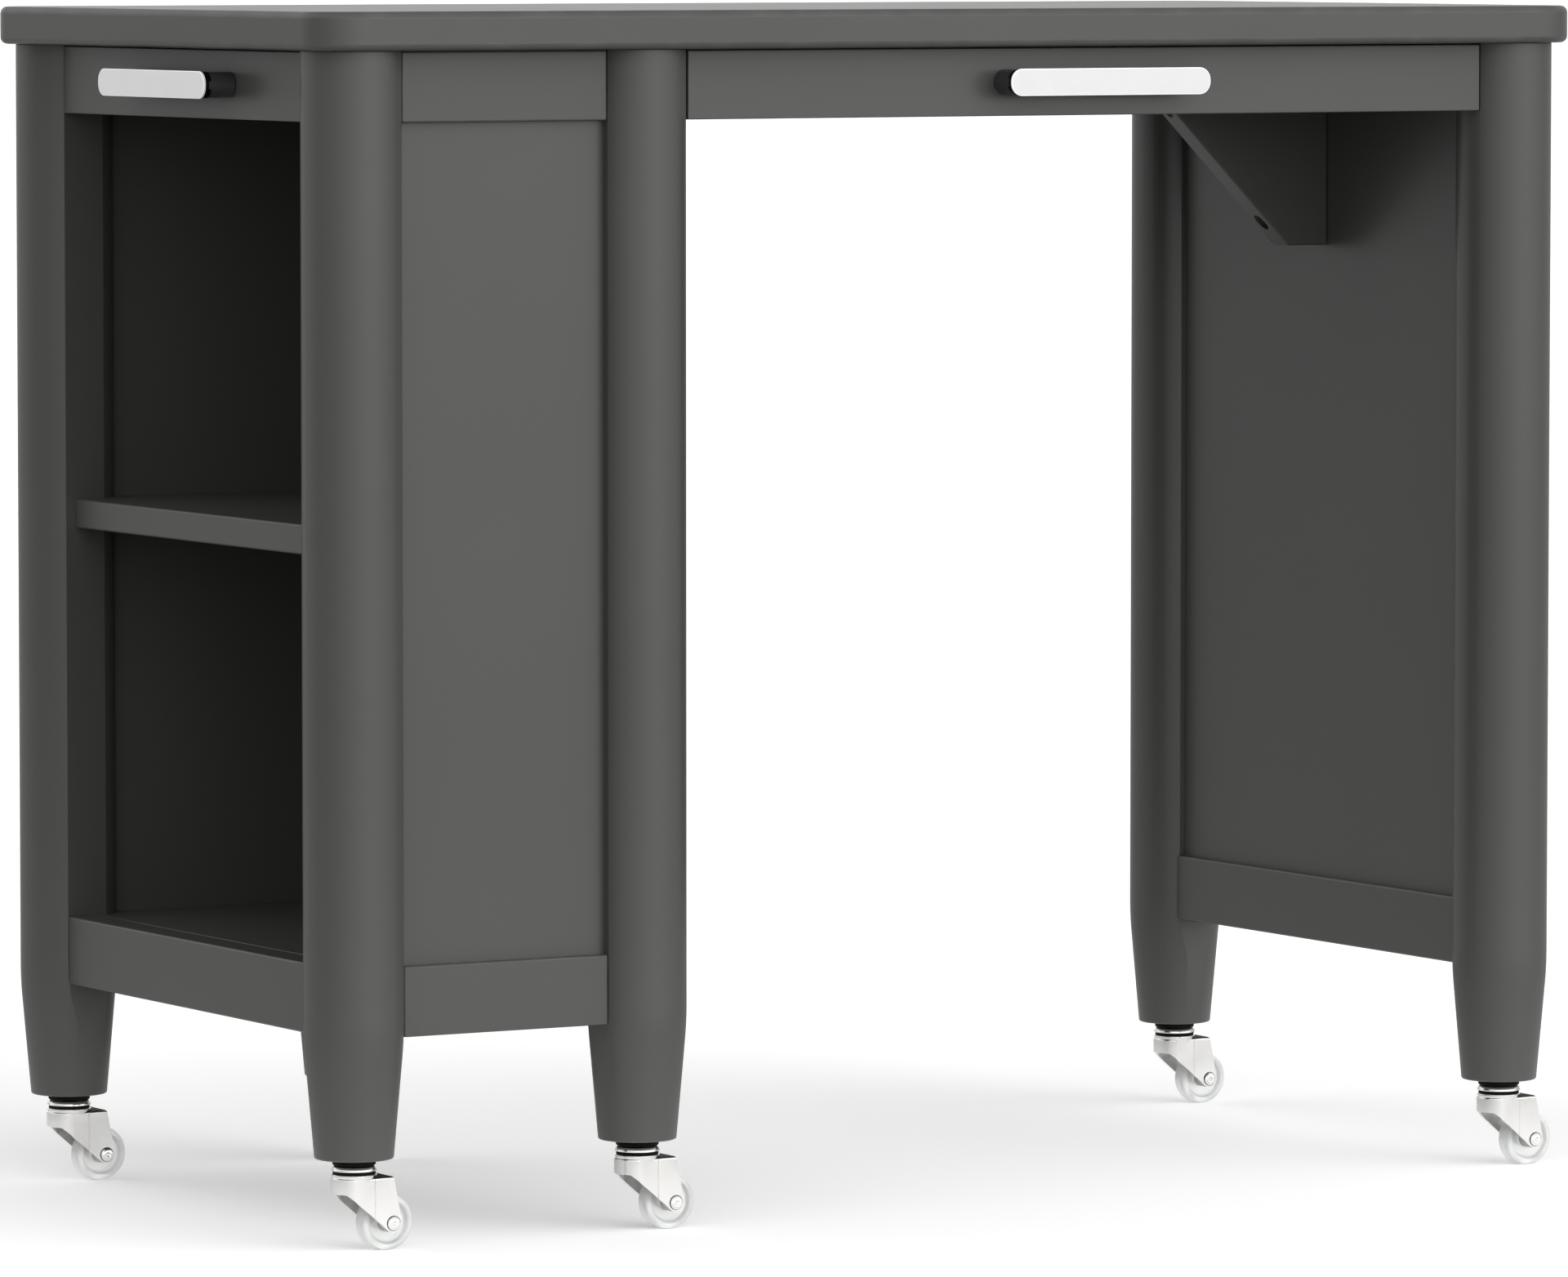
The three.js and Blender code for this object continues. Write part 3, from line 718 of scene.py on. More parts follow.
@dataclass
class Tabletop:
    """The radiused top."""

    corner: float = 31.5
    corner_segments: int = 20
    edge: float = 4.5
    edge_segments: int = 7

    def build(self) -> None:
        """Makes the top from a block: its corners first, then the two rims."""
        bm = bmesh.new()
        block(bm, *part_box("tabletop"))
        bevelled(bm, running(bm, Z), self.corner, self.corner_segments)
        ease(bm, square_to(bm, Z), self.edge, self.edge_segments)
        dress(bm, "radiused_top", "table", LACQUER.material(), ["tabletop"])


@dataclass
class Post:
    """A turned post with flats where frames join it and short seats beside the top rails."""

    name: str
    flats: tuple[Side, ...]
    seats: tuple[Side, ...] = ()
    radius: float = 31.5
    foot_radius: float = 24.9
    foot_ease: float = 1.2
    foot_segments: int = 8
    taper: float = 75.5
    taper_ease: float = 9.0
    taper_segments: int = 3
    flat: float = 28.3
    seam: float = 0.3
    arris: float = 0.6
    arris_degrees: float = 15.0
    crease_degrees: float = 40.0
    steps: int = 96

    def column(self, low: float, high: float) -> Mesh:
        """The round column above its cone, with softened rings at the foot and the taper.

        Args:
            low: height of the foot in millimetres.
            high: height of the upper end in millimetres.

        Returns:
            The mesh, on Z.
        """
        knee = low + self.taper
        bm = turned([(self.foot_radius, low), (self.radius, knee), (self.radius, high)], self.steps)
        ease(bm, level(bm, low), self.foot_ease, self.foot_segments)
        bevelled(bm, level(bm, knee), self.taper_ease, self.taper_segments)
        return bm

    def cut_flat(self, bm: Mesh, side: Side) -> None:
        """Planes a flat over the whole height."""
        split(bm, side.way() * self.flat * MM, side.way(), drop=True)
        close(bm)

    def cut_seat(self, bm: Mesh, side: Side, floor: float) -> None:
        """Notches a short seat from a height up to the top.

        Args:
            bm: the post on Z.
            side: the side that is notched.
            floor: height of the seat's ledge in millimetres.
        """
        out, wall, ledge_z = side.way(), self.flat * MM, floor * MM
        split(bm, Z * ledge_z, Z)
        split(bm, out * wall, out)
        middles = {face: face.calc_center_median() for face in bm.faces}
        waste = [face for face, middle in middles.items()
                 if middle.z > ledge_z and middle.dot(out) > wall]
        bmesh.ops.delete(bm, geom=waste, context="FACES")
        open_edges = [e for e in bm.edges if e.is_boundary]
        on_wall = [e for e in open_edges
                   if all(abs(v.co.dot(out) - wall) < NEAR for v in e.verts)]
        ledge = [e for e in open_edges if e not in on_wall]
        corners = {v for e in on_wall for v in e.verts if abs(v.co.z - ledge_z) < NEAR}
        step = bm.edges.new(list(corners))
        bmesh.ops.contextual_create(bm, geom=on_wall + [step])
        bmesh.ops.contextual_create(bm, geom=ledge + [step])

    def build(self) -> None:
        """Makes and dresses the post."""
        node = f"post_{self.name}"
        low, high = (corner.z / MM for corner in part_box(node))
        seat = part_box("pedestal_front_top_rail")[0].z / MM - self.seam
        bm = self.column(low, high)
        for side in self.flats:
            self.cut_flat(bm, side)
        for side in self.seats:
            self.cut_seat(bm, side, seat)
        bmesh.ops.recalc_face_normals(bm, faces=bm.faces[:])
        ease(bm, creases(bm, self.arris_degrees), self.arris, 2)
        moved(bm, Matrix.Translation(post_axis(self.name)))
        dress(bm, f"turned_{node}", "table", LACQUER.material(), [node],
              self.crease_degrees)


@dataclass
class Cabinet:
    """Posts, framed ends, open bay, apron and top."""

    rail_ease: float = 1.4
    panel_ease: float = 0.4
    shelf_ease: float = 0.45
    floor_ease: float = 0.4

    def posts(self) -> list[Post]:
        """The six posts with the sides that are planed.

        Returns:
            The posts, not yet built, in the order of their names.
        """
        east, west, north, south = Side.EAST, Side.WEST, Side.NORTH, Side.SOUTH
        sides = (
            ((east, north), ()), ((east, south), ()),
            ((west, north), (east,)), ((west, south), (east,)),
            ((north,), (west,)), ((south,), (west,)),
        )
        return [Post(name, flats, seats) for name, (flats, seats) in zip(POSTS, sides)]

    def boards(self) -> list[Board]:
        """Rails and recessed panels of the four framed sides, the bay's rail and the apron.

        Returns:
            The boards, not yet built.
        """
        boards = []
        for name in ("pedestal_front", "pedestal_back", "pedestal_side", "right_end"):
            for rail in ("top_rail", "bottom_rail"):
                boards.append(Board(f"{name}_{rail}", self.rail_ease))
            boards.append(Board(f"{name}_panel", self.panel_ease, 1))
        for name in ("bay_bottom_rail", "back_apron"):
            boards.append(Board(name, self.rail_ease))
        return boards

    def build(self) -> None:
        """Makes and dresses the cabinet."""
        Tabletop().build()
        for piece in (*self.posts(), *self.boards()):
            piece.build()
        keep("bay_shelf", LACQUER.material(), self.shelf_ease)
        keep("bay_floor", LACQUER.material(), self.floor_ease)


# ------------------------------------------------------------------------------------- the brace
@dataclass
class CornerBrace:
    """The triangular brace under the top and its two cross-head screws."""

    board_ease: float = 0.25
    head_radius: float = 4.3
    head_height: float = 2.6
    crown: float = 0.35  # flat middle of the head as a share of its radius
    slope: float = 0.6  # end of the dome's upper slope, likewise
    rim: float = 0.62  # rim of the dome as a share of the head's height
    shank: float = 2.0
    point: float = 3.0
    tip: float = 0.2
    recess: float = 1.5
    recess_arm: float = 2.5
    recess_heights: Point = (-0.02, 0.12)
    recess_taper: float = 0.6
    steps: int = 28

    def screw(self, length: float) -> Mesh:
        """A domed screw on Z, its point up and its cross recess in the underside.

        Args:
            length: overall length in millimetres.

        Returns:
            The mesh, its head's underside at height 0.
        """
        wide, head = self.head_radius, self.head_height
        screw = turned(rounded_profile([
            (self.crown * wide, 0, 0), (self.slope * wide, 0, 0.5), (wide, self.rim * head, 0.9),
            (wide, head, 0.2), (self.shank, head, 0), (self.shank, length - self.point, 0.3),
            (self.tip, length, 0),
        ]), self.steps)
        cross = bmesh.new()
        low, high = self.recess_heights
        arms = []
        for x, y in ((self.recess_arm, self.recess / 2), (self.recess / 2, self.recess_arm)):
            arms.append(block(cross, Vector((-x, -y, low)) * MM, Vector((x, y, high)) * MM))
        for arm in arms:
            bottom = [v for v in arm if v.co.z > 0]
            bmesh.ops.scale(cross, vec=(self.recess_taper, self.recess_taper, 1), verts=bottom)
        return joined(screw, cross)

    def build(self) -> None:
        """Dresses the brace and makes both screws."""
        keep("corner_brace", LACQUER.material(), self.board_ease)
        for node, point in (("brace_screw_top", Z), ("brace_screw_side", X)):
            low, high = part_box(node)
            length = (high - low).dot(point)
            bm = on_axis(self.screw(length / MM), (low + high) / 2 - point * length / 2, point)
            dress(bm, f"{node}_pan_head", "table", ZINC.material(), [node])


# ------------------------------------------------------------------------------------- drawers
@dataclass
class BarPull:
    """A near-black bar on two round posts that carries a light face plate with rounded ends; the
    bar's near black is partly painted shade in the gap behind the plate.
    """

    drawer: str
    out: Vector
    corner: float = 8.2
    corner_segments: int = 14
    plate: float = 1.7
    plate_rim: float = 0.6
    plate_crease: float = 50.0
    bar: float = 4.6
    bar_inset: float = 0.35
    bar_ease: float = 0.8
    lap: float = 0.1  # how far the bar reaches into the back of the plate
    post_radius: float = 8.2
    post_ease: float = 0.5
    post_at: float = 67.1
    steps: int = 48

    def depth(self, point: Vector) -> float:
        """How far a point lies out from the middle of the table, along the pull's direction."""
        return point.dot(self.out)

    def slab(self, face: float, thick: float, inset: float, rim: float) -> Mesh:
        """A bar with rounded ends, in the outline of the pull.

        Args:
            face: distance of its front from the middle of the table, in metres.
            thick: its thickness in millimetres.
            inset: how much smaller than the pull's outline it is all round, in millimetres.
            rim: rounding of its edges in millimetres.

        Returns:
            The mesh.
        """
        start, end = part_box(f"{self.drawer}_pull")
        shrink = Vector((1, 1, 1)) * inset * MM
        start, end = start + shrink, end - shrink
        for k in range(3):
            if abs(self.out[k]) > 0.5:
                start[k], end[k] = sorted((face * self.out[k], (face - thick * MM) * self.out[k]))
        bm = bmesh.new()
        block(bm, start, end)
        bevelled(bm, running(bm, self.out), self.corner - inset, self.corner_segments)
        ease(bm, square_to(bm, self.out), rim, 3)
        return bm

    def posts(self, root: float, length: float) -> Mesh:
        """Both posts between the drawer's front and the bar.

        Args:
            root: distance of their feet from the middle of the table, in metres.
            length: their length in millimetres.

        Returns:
            The mesh.
        """
        low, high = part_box(f"{self.drawer}_pull")
        along = X if abs(self.out.y) > 0.5 else Y
        posts = []
        for hand in (-1, 1):
            foot = (low + high) / 2 + along * hand * self.post_at * MM
            foot += self.out * (root - self.depth(foot))
            post = turned(rounded_profile([
                (0, 0, 0), (self.post_radius, 0, self.post_ease), (self.post_radius, length, 0),
                (0, length, 0)]), self.steps)
            posts.append(on_axis(post, foot, self.out))
        return joined(*posts)

    def build(self) -> None:
        """Makes the face plate, the bar and its posts."""
        node, body = f"{self.drawer}_pull", f"{self.drawer}_drawer"
        root, face = sorted(self.depth(corner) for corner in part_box(node))
        plate = self.slab(face, self.plate, 0, self.plate_rim)
        dress(plate, f"{node}_face", body, SILVER_COAT.material(), [node],
              self.plate_crease)
        back = face - (self.plate - self.lap) * MM
        bar = self.slab(back, self.bar, self.bar_inset, self.bar_ease)
        # Near black: partly the bar's own colour, partly painted shade in the gap behind the plate.
        dress(bar, f"{node}_bar", body, BLACK_NYLON_AND_SHADE.material())
        posts = self.posts(root, (back - root) / MM - self.bar / 2)
        dress(posts, f"{node}_posts", body, BLACK_ENAMEL.material())


@dataclass
class Drawer:
    """Front, box, pull and runners of one drawer."""

    name: str
    out: Vector
    front_ease: float = 0.8
    board_ease: float = 0.6

    def build(self) -> None:
        """Makes and dresses the drawer; the grain of each board runs along its length."""
        across, along = Grain.ALONG_X, Grain.ALONG_Y
        if abs(self.out.x) > 0.5:
            across, along = along, across
        Board(f"{self.name}_drawer_front", self.front_ease, body=f"{self.name}_drawer").build()
        for part, grain in (
            ("drawer_left_side", along), ("drawer_right_side", along), ("drawer_back", across),
            ("drawer_bottom", across), ("runner_left", along), ("runner_right", along),
        ):
            keep(f"{self.name}_{part}", StainedBirch(grain).material(), self.board_ease)
        BarPull(self.name, self.out).build()


# ------------------------------------------------------------------------------------- casters
@dataclass
class Caster:
    """A swivel caster: black collar, bearing ring, stamped fork, riveted axle and clear wheel.

    Its own frame has Z up the swivel axis from the floor and the wheel behind it at positive X.
    """

    post: str
    # The fork, folded from sheet.
    crown: float = 47.0
    trail: float = 21.0
    axle: float = 17.8
    sheet: float = 1.7
    sheet_ease: float = 0.25
    half: float = 13.3
    front: float = 14.3
    corner: float = 11.5
    corner_segments: int = 14
    lip: float = 3.6
    rear: float = 21.2
    web: float = 10.0
    boss: float = 5.8
    boss_steps: int = 18
    fold: float = 1.1
    fold_segments: int = 4
    rim_degrees: float = 70.0
    blank_low: float = 4.0
    blank_past: float = 8.0
    outline_past: float = 1.0
    score: float = 8.0
    score_half: float = 0.3
    score_depth: float = 0.5
    score_clear: float = 1.0
    # The collar under the post and the stem through it.
    collar_radius: float = 13.7
    collar_low: float = 54.7
    collar_high: float = 57.9
    collar_chamfer: Point = (0.6, 0.7)
    collar_dish: float = 1.4
    teeth: int = 30
    tooth: float = 0.65
    tooth_root: float = 2.0
    tooth_lap: float = 0.1
    tooth_rise: float = 0.6
    stem: float = 4.0
    stem_rise: float = 0.5
    # The seal, the sheet that it stands on, and the washers, all black: the seal is partly a dust
    # seal and partly painted shade in the bearing's groove, the sheet is painted shade on the crown,
    # and the washers' rims are painted shade round each rivet head.
    seal_radii: Point = (5.0, 13.5)
    seal_heights: Point = (49.0, 51.1)
    shade_sheet_from: float = 5.4
    shade_sheet_inset: Point = (0.6, 0.9)
    shade_sheet_heights: Point = (-0.1, 0.35)
    washer_radii: Point = (2.6, 4.85)
    washer_heights: Point = (-0.3, 0.14)
    # Turned profiles, as radius, height and rounding of each corner.
    stem_head: tuple[Corner, ...] = (
        (0, 42.7, 0), (4.5, 42.7, 0.6), (6.0, 43.8, 0.5), (6.0, 44.9, 0.2), (4.0, 44.9, 0))
    bearing: tuple[Corner, ...] = (
        (5.0, 45.4, 0), (14.0, 45.4, 0.1), (14.0, 46.9, 0.2), (14.3, 47.4, 0.3),
        (14.3, 48.8, 0.3), (13.8, 49.1, 0.2), (12.1, 49.2, 0), (12.1, 50.9, 0),
        (13.8, 51.0, 0.2), (14.3, 51.4, 0.3), (14.2, 52.4, 0.6), (13.4, 54.1, 0.5),
        (12.5, 54.3, 0.2), (5.0, 54.3, 0), (5.0, 45.4, 0))
    rivet_head: tuple[Corner, ...] = (
        (0, 0.9, 0), (0.8, 0.9, 0.3), (1.2, 1.6, 0.3), (1.9, 1.9, 0.4), (3.3, 1.75, 0.7),
        (4.35, 1.1, 0.5), (4.6, 0.5, 0.3), (4.2, 0.25, 0), (4.2, -0.5, 0), (2.6, -0.5, 0))
    tread: tuple[Corner, ...] = (
        (6.2, 2.6, 0), (12.6, 3.0, 1.0), (13.8, 5.9, 0.8), (15.2, 6.0, 0.5), (17.8, 5.6, 2.4))
    hub_side: tuple[Corner, ...] = (
        (3.0, 11.2, 0), (5.6, 11.2, 0.5), (6.0, 10.2, 0.4), (6.05, 0, 0))
    # Facets round the large rings, the small parts, the rivets and hub, and the tread.
    steps: int = 72
    small_steps: int = 40
    rivet_steps: int = 48
    tread_steps: int = 96

    def collar(self) -> Mesh:
        """Collar under the post, toothed on its upper rim, with the riveted stem head in the fork.

        Returns:
            The mesh.
        """
        wide, low, high = self.collar_radius, self.collar_low, self.collar_high
        inward, upward = self.collar_chamfer
        disc = turned(rounded_profile([
            (self.stem, low, 0), (wide - inward, low, 0.3), (wide, low + upward, 0.4),
            (wide, high, 0.3), (wide - self.collar_dish, high, 0), (self.stem, high, 0),
        ]), self.steps)
        teeth = bmesh.new()
        for k in range(self.teeth):
            root = Vector((wide - self.tooth_root, -self.tooth, high - self.tooth_lap))
            tip = Vector((wide - self.tooth_lap, self.tooth, high + self.tooth_rise))
            tooth = block(teeth, root * MM, tip * MM)
            turn = Matrix.Rotation(k * math.tau / self.teeth, 3, "Z")
            bmesh.ops.rotate(teeth, cent=(0, 0, 0), verts=tooth, matrix=turn)
        top = high + self.stem_rise
        head = rounded_profile([*self.stem_head, (self.stem, top, 0), (0, top, 0)])
        return joined(disc, teeth, turned(head, self.small_steps))

    def outline(self) -> list[Vector]:
        """Side view of the fork.

        Returns:
            Points in X and Z, in millimetres, anticlockwise.
        """
        axle = Vector((self.trail, self.axle))
        low = Vector((-self.front + self.lip, self.crown - self.web))
        rear = Vector((self.rear, self.crown))
        ahead, above = -self.front - self.outline_past, self.crown + self.outline_past

        def tangent(point: Vector, side: int) -> float:
            """Angle at which a line from a point touches the boss."""
            line = point - axle
            return math.atan2(line.y, line.x) + side * math.acos(self.boss / line.length)

        first, last = tangent(low, 1), tangent(rear, -1) + math.tau
        turns = [first + (last - first) * k / self.boss_steps for k in range(self.boss_steps + 1)]
        arc = [axle + Vector((math.cos(turn), math.sin(turn))) * self.boss for turn in turns]
        return [Vector((ahead, above)), Vector((ahead, low.y)), low, *arc, rear,
                Vector((self.rear, above))]

    def fork(self) -> Mesh:
        """Sheet folded over a round hood, cut to the side view, given its thickness and scored.

        Returns:
            The mesh.
        """
        bm = bmesh.new()
        block(bm, Vector((-self.front, -self.half, self.blank_low)) * MM,
              Vector((self.rear + self.blank_past, self.half, self.crown)) * MM)
        front = [e for e in running(bm, Z) if all(v.co.x < 0 for v in e.verts)]
        bevelled(bm, front, self.corner, self.corner_segments)
        open_sides = [f for f in bm.faces if f.normal.z < -0.9 or f.normal.x > 0.9]
        bmesh.ops.delete(bm, geom=open_sides, context="FACES")
        bend = [e for e in level(bm, self.crown) if not e.is_boundary]
        bevelled(bm, bend, self.fold, self.fold_segments)
        self.cut_to_outline(bm)
        bmesh.ops.recalc_face_normals(bm, faces=bm.faces[:])
        if sum(f.normal.z * f.calc_area() for f in bm.faces) < 0:
            bmesh.ops.reverse_faces(bm, faces=bm.faces[:])
        bmesh.ops.solidify(bm, geom=bm.faces[:], thickness=self.sheet * MM)
        self.score_cheeks(bm)
        clear = 2 * self.score_clear * MM
        rims = [e for e in creases(bm, self.rim_degrees)
                if abs(sum(v.co.x for v in e.verts) - 2 * self.score * MM) > clear]
        ease(bm, rims, self.sheet_ease, 2)
        return bm

    def cut_to_outline(self, bm: Mesh) -> None:
        """Cuts the folded shell along every line of the side view and drops what lies outside.

        Args:
            bm: the shell, before it has a thickness.
        """
        points = self.outline()
        pairs = list(zip(points, points[1:] + points[:1]))
        for one, two in pairs:
            line = (two - one).normalized()
            split(bm, Vector((one.x, 0, one.y)) * MM, Vector((line.y, 0, -line.x)))

        def inside(x: float, z: float) -> bool:
            """Whether a point lies in the side view.

            Args:
                x: its place behind the swivel axis in metres.
                z: its height in metres.

            Returns:
                True if a level line from it crosses the outline an odd number of times.
            """
            crossings = 0
            for one, two in pairs:
                if (one.y * MM > z) != (two.y * MM > z):
                    slant = (two.x - one.x) / (two.y - one.y)
                    crossings += x < (one.x + slant * (z / MM - one.y)) * MM
            return crossings % 2 == 1

        middles = {face: face.calc_center_median() for face in bm.faces}
        waste = [face for face, middle in middles.items() if not inside(middle.x, middle.z)]
        bmesh.ops.delete(bm, geom=waste, context="FACES")
        bmesh.ops.delete(bm, geom=[v for v in bm.verts if not v.link_faces], context="VERTS")

    def score_cheeks(self, bm: Mesh) -> None:
        """Presses a fine upright line into the outside of each cheek, behind the swivel.

        Args:
            bm: the fork.
        """
        for x in (self.score - self.score_half, self.score, self.score + self.score_half):
            split(bm, X * x * MM, X)
        for hand in (-1, 1):
            line = [v for v in bm.verts if abs(v.co.x - self.score * MM) < NEAR / 10
                    and abs(v.co.y - hand * self.half * MM) < NEAR]
            bmesh.ops.translate(bm, verts=line, vec=-Y * hand * self.score_depth * MM)

    def at_axle(self, side: int = 0) -> Vector:
        """The axle's middle, or its end at a cheek for a side of -1 or 1, in metres."""
        return Vector((self.trail, side * self.half, self.axle)) * MM

    def seal(self) -> Mesh:
        """Black seal in the groove, partly painted shade there; a thin black sheet on the crown that
        is painted shade; and a washer under each rivet whose black rim is painted shade.

        Returns:
            The mesh.
        """
        parts = [tube(*self.seal_radii, *self.seal_heights, self.steps), bmesh.new()]
        (behind, beside), (low, high) = self.shade_sheet_inset, self.shade_sheet_heights
        block(parts[1], Vector((self.shade_sheet_from, beside - self.half, self.crown + low)) * MM,
              Vector((self.rear - behind, self.half - beside, self.crown + high)) * MM)
        for side in (-1, 1):
            washer = tube(*self.washer_radii, *self.washer_heights, self.small_steps)
            parts.append(on_axis(washer, self.at_axle(side), Y * side))
        return joined(*parts)

    def bright_parts(self) -> Mesh:
        """Race and bearing ring above and below the dark groove, and a rivet head on each cheek.

        Returns:
            The mesh.
        """
        pin = self.rivet_head[-1][0]
        profile = rounded_profile([*self.rivet_head, (pin, -self.half, 0), (0, -self.half, 0)], 4)
        rivets = [on_axis(turned(profile, self.rivet_steps), self.at_axle(side), Y * side)
                  for side in (1, -1)]
        return joined(turned(rounded_profile(self.bearing), self.steps), *rivets)

    def wheel(self) -> Mesh:
        """Clear wheel: thin web, a rounded tread with a rim on both sides, and a bore."""
        bm = turned(rounded_profile(both_sides(self.tread), 7), self.tread_steps)
        return on_axis(bm, self.at_axle(), Y)

    def hub(self) -> Mesh:
        """Grey hub moulded round the axle, reaching out on each side of the web."""
        bm = turned(rounded_profile(both_sides(self.hub_side)), self.rivet_steps)
        return on_axis(bm, self.at_axle(), Y)

    def build(self) -> None:
        """Makes and dresses the caster on its post."""
        place = Matrix.Translation(post_axis(self.post))
        black_and_shade, nickel = BLACK_NYLON_AND_SHADE.material(), NICKEL.material()
        clear, acetal = FROSTED_CARBONATE.material(), GREY_ACETAL.material()
        fork, wheel = f"fork_{self.post}", f"wheel_{self.post}"
        for name, bm, body, slot, finish, node, crease in (
            # The collar's near black is partly painted shade under the post's foot.
            ("collar", self.collar(), "table", "black_collar", black_and_shade, "caster_stem", 40),
            ("stamped_fork", self.fork(), fork, "nickel_fork", nickel, "caster_fork", 30),
            ("bearing_and_rivets", self.bright_parts(), fork, "nickel_fork", nickel, "", 40),
            # Black parts that are painted shade: the seal in the groove, the sheet on the crown and
            # the washers' rims.
            ("black_seal_and_shade", self.seal(), fork, "black_collar", black_and_shade, "", 40),
            ("clear_tread", self.wheel(), wheel, "clear_wheel", clear, "caster_wheel", 40),
            ("hub", self.hub(), wheel, "clear_wheel", acetal, "", 40),
        ):
            stands_for = [f"{node}_{self.post}"] if node else ()
            dress(moved(bm, place), f"{name}_{self.post}", body, finish, stands_for, crease)


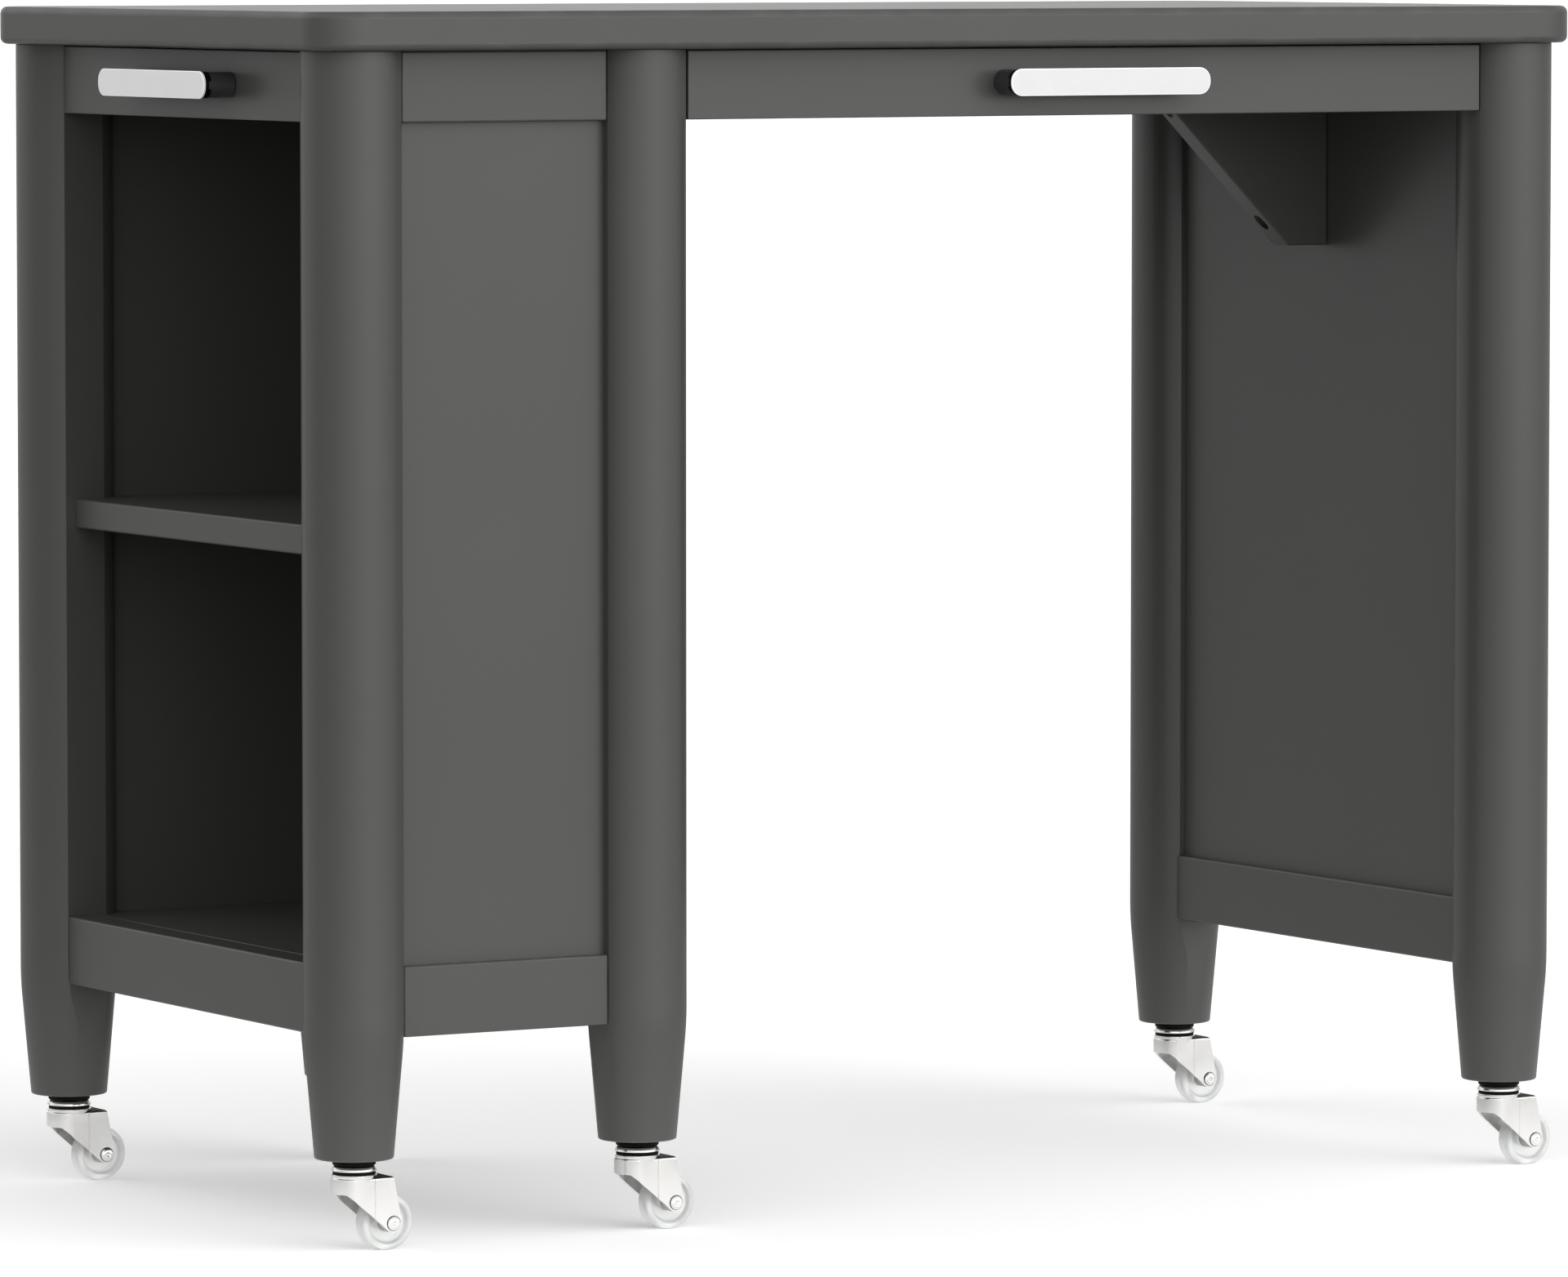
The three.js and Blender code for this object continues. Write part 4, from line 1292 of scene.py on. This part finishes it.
# --------------------------------------------------------------------------------------- studio
@dataclass
class Studio:
    """White floor, soft light from all round that is strongest at the right, and the camera."""

    floor_radius: float = 160.0  # metres
    floor_steps: int = 96
    eye: tuple[float, float, float] = (-3.3154, -5.7097, 0.8305)
    turn: Point = (85.8938, -30.1169)
    lens: float = 229.473
    sensor: float = 36.0
    sight: float = 500.0  # metres
    # Rings of light from the floor up: the height of each as the sine of its elevation, and its
    # radiance by azimuth in degrees, from the way to the camera towards its right-hand side.
    rings: tuple[tuple[float, tuple[Point, ...]], ...] = (
        (0.113, (
            (-180, 1.4), (-165, 1.2), (-150, 0.95), (-130, 0.55), (-110, 1.4), (-90, 0.8),
            (-70, 0.35), (-50, 0.55), (-30, 0.9), (-10, 2.15), (10, 2.9), (30, 4.2), (50, 4.75),
            (70, 3.4), (90, 1.75), (110, 0.45), (150, 0.5), (165, 1.2), (180, 1.4))),
        (0.446, (
            (-180, 0.4), (-165, 0.41), (-135, 1.02), (-105, 1.64), (-75, 1.12), (-45, 1.3),
            (-15, 0.69), (15, 1.85), (45, 3.95), (75, 2.65), (105, 1.15), (135, 0.48), (180, 0.4))),
        (0.766, (
            (-180, 0.36), (-150, 0.36), (-90, 1.15), (-30, 1.5), (30, 1.95), (90, 0.97),
            (150, 0.36), (180, 0.36))),
    )
    overhead: float = 0.35
    # Above the lowest ring the lamps are flagged: gloss sees no radiance over this limit, so that
    # a level face doesn't mirror them. The limit comes in between two heights, given as sines.
    gloss_limit: float = 1.0
    limit_from: Point = (0.14, 0.2)
    backdrop: float = 1.05

    def floor(self) -> None:
        """Lays the floor."""
        bm = bmesh.new()
        bmesh.ops.create_circle(bm, cap_ends=True, segments=self.floor_steps,
                                radius=self.floor_radius)
        mesh = bpy.data.meshes.new("studio_floor")
        bm.to_mesh(mesh)
        bm.free()
        mesh.materials.append(StudioFloor().material())
        floor = bpy.data.objects.new("studio_floor", mesh)
        bpy.context.scene.collection.objects.link(floor)

    def peak(self) -> float:
        """The brightest radiance of all the rings."""
        return max(value for _, stops in self.rings for _, value in stops)

    def ring(self, tree: Tree, share: Socket, stops: Sequence[Point]) -> Socket:
        """Radiance of one ring of light, as a ramp.

        Args:
            tree: the world's nodes.
            share: the azimuth, from 0 to 1.
            stops: azimuth in degrees and radiance of each stop of the ramp, from -180 to 180.

        Returns:
            The colour output, as a share of the brightest radiance of all.
        """
        bands = add(tree, "ValToRGB", {0: share})
        places = bands.color_ramp.elements
        for angle, value in stops:
            end = {-180: 0, 180: -1}.get(angle)
            place = places.new((angle + 180) / 360) if end is None else places[end]
            place.color = grey(value / self.peak())
        return bands.outputs[0]

    def radiance(self, tree: Tree, ray: bpy.types.bpy_prop_collection) -> Socket:
        """Light by direction, ring over ring, with its limit for gloss.

        Args:
            tree: the world's nodes.
            ray: outputs of its Light Path node.

        Returns:
            The colour output, as a share of the brightest radiance of all.
        """
        way = add(tree, "TexCoord").outputs["Generated"]
        parts = add(tree, "SeparateXYZ", {0: way}).outputs
        height = parts[2]
        # The rings are given from the way to the camera, which is this azimuth from +X.
        facing = math.radians(self.turn[1] - 90)
        offset = worked(tree, "SUBTRACT", worked(tree, "ARCTAN2", parts[1], parts[0]), facing)
        turn = worked(tree, "WRAP", offset, math.pi, -math.pi)
        share = ramped(tree, turn, (-math.pi, math.pi), (0, 1))
        below, stops = self.rings[0]
        colour = self.ring(tree, share, stops)
        for sine, stops in self.rings[1:]:
            rise = ramped(tree, height, (below, sine), (0, 1))
            colour = blended(tree, rise, colour, self.ring(tree, share, stops))
            below = sine
        rise = ramped(tree, height, (below, 1), (0, 1))
        colour = blended(tree, rise, colour, grey(self.overhead / self.peak()))
        upper = ramped(tree, height, self.limit_from, (0, 1))
        flagged = worked(tree, "MULTIPLY", ray["Is Glossy Ray"], upper)
        return blended(tree, flagged, colour, grey(self.gloss_limit / self.peak()), "DARKEN")

    def world(self) -> None:
        """Lights the scene from all round, with plain white behind the table."""
        world = bpy.data.worlds.new("soft_studio")
        world.use_nodes = True
        tree = world.node_tree
        tree.nodes.clear()
        ray = add(tree, "LightPath").outputs
        light = add(tree, "Background", {0: self.radiance(tree, ray), 1: self.peak()}).outputs[0]
        plain = add(tree, "Background", {0: grey(1), 1: self.backdrop}).outputs[0]
        mixed = add(tree, "MixShader", {0: ray["Is Camera Ray"], 1: light, 2: plain}).outputs[0]
        add(tree, "OutputWorld", {"Surface": mixed})
        bpy.context.scene.world = world

    def camera(self) -> None:
        """Stands the camera at the table's front left, a little above the top, with a long lens."""
        data = bpy.data.cameras.new("camera")
        data.lens = self.lens
        data.sensor_width = self.sensor
        data.clip_end = self.sight
        eye = bpy.data.objects.new("camera", data)
        eye.location = self.eye
        eye.rotation_euler = (math.radians(self.turn[0]), 0, math.radians(self.turn[1]))
        bpy.context.scene.collection.objects.link(eye)
        bpy.context.scene.camera = eye

    def build(self) -> None:
        """Sets up floor, light and camera."""
        bpy.context.scene.view_settings.view_transform = "Standard"
        self.floor()
        self.world()
        self.camera()


def corners(box: tuple[Vector, Vector]) -> list[list[float]]:
    """A box as plain lists of numbers."""
    return [list(corner) for corner in box]


def main() -> None:
    """Builds the table piece by piece."""
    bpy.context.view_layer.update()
    Studio().build()
    Cabinet().build()
    CornerBrace().build()
    Drawer("front", -Y).build()
    Drawer("end", -X).build()
    for post in POSTS:
        Caster(post).build()


if __name__ == "__main__":
    logging.basicConfig(level=logging.INFO, format="%(message)s")
    main()
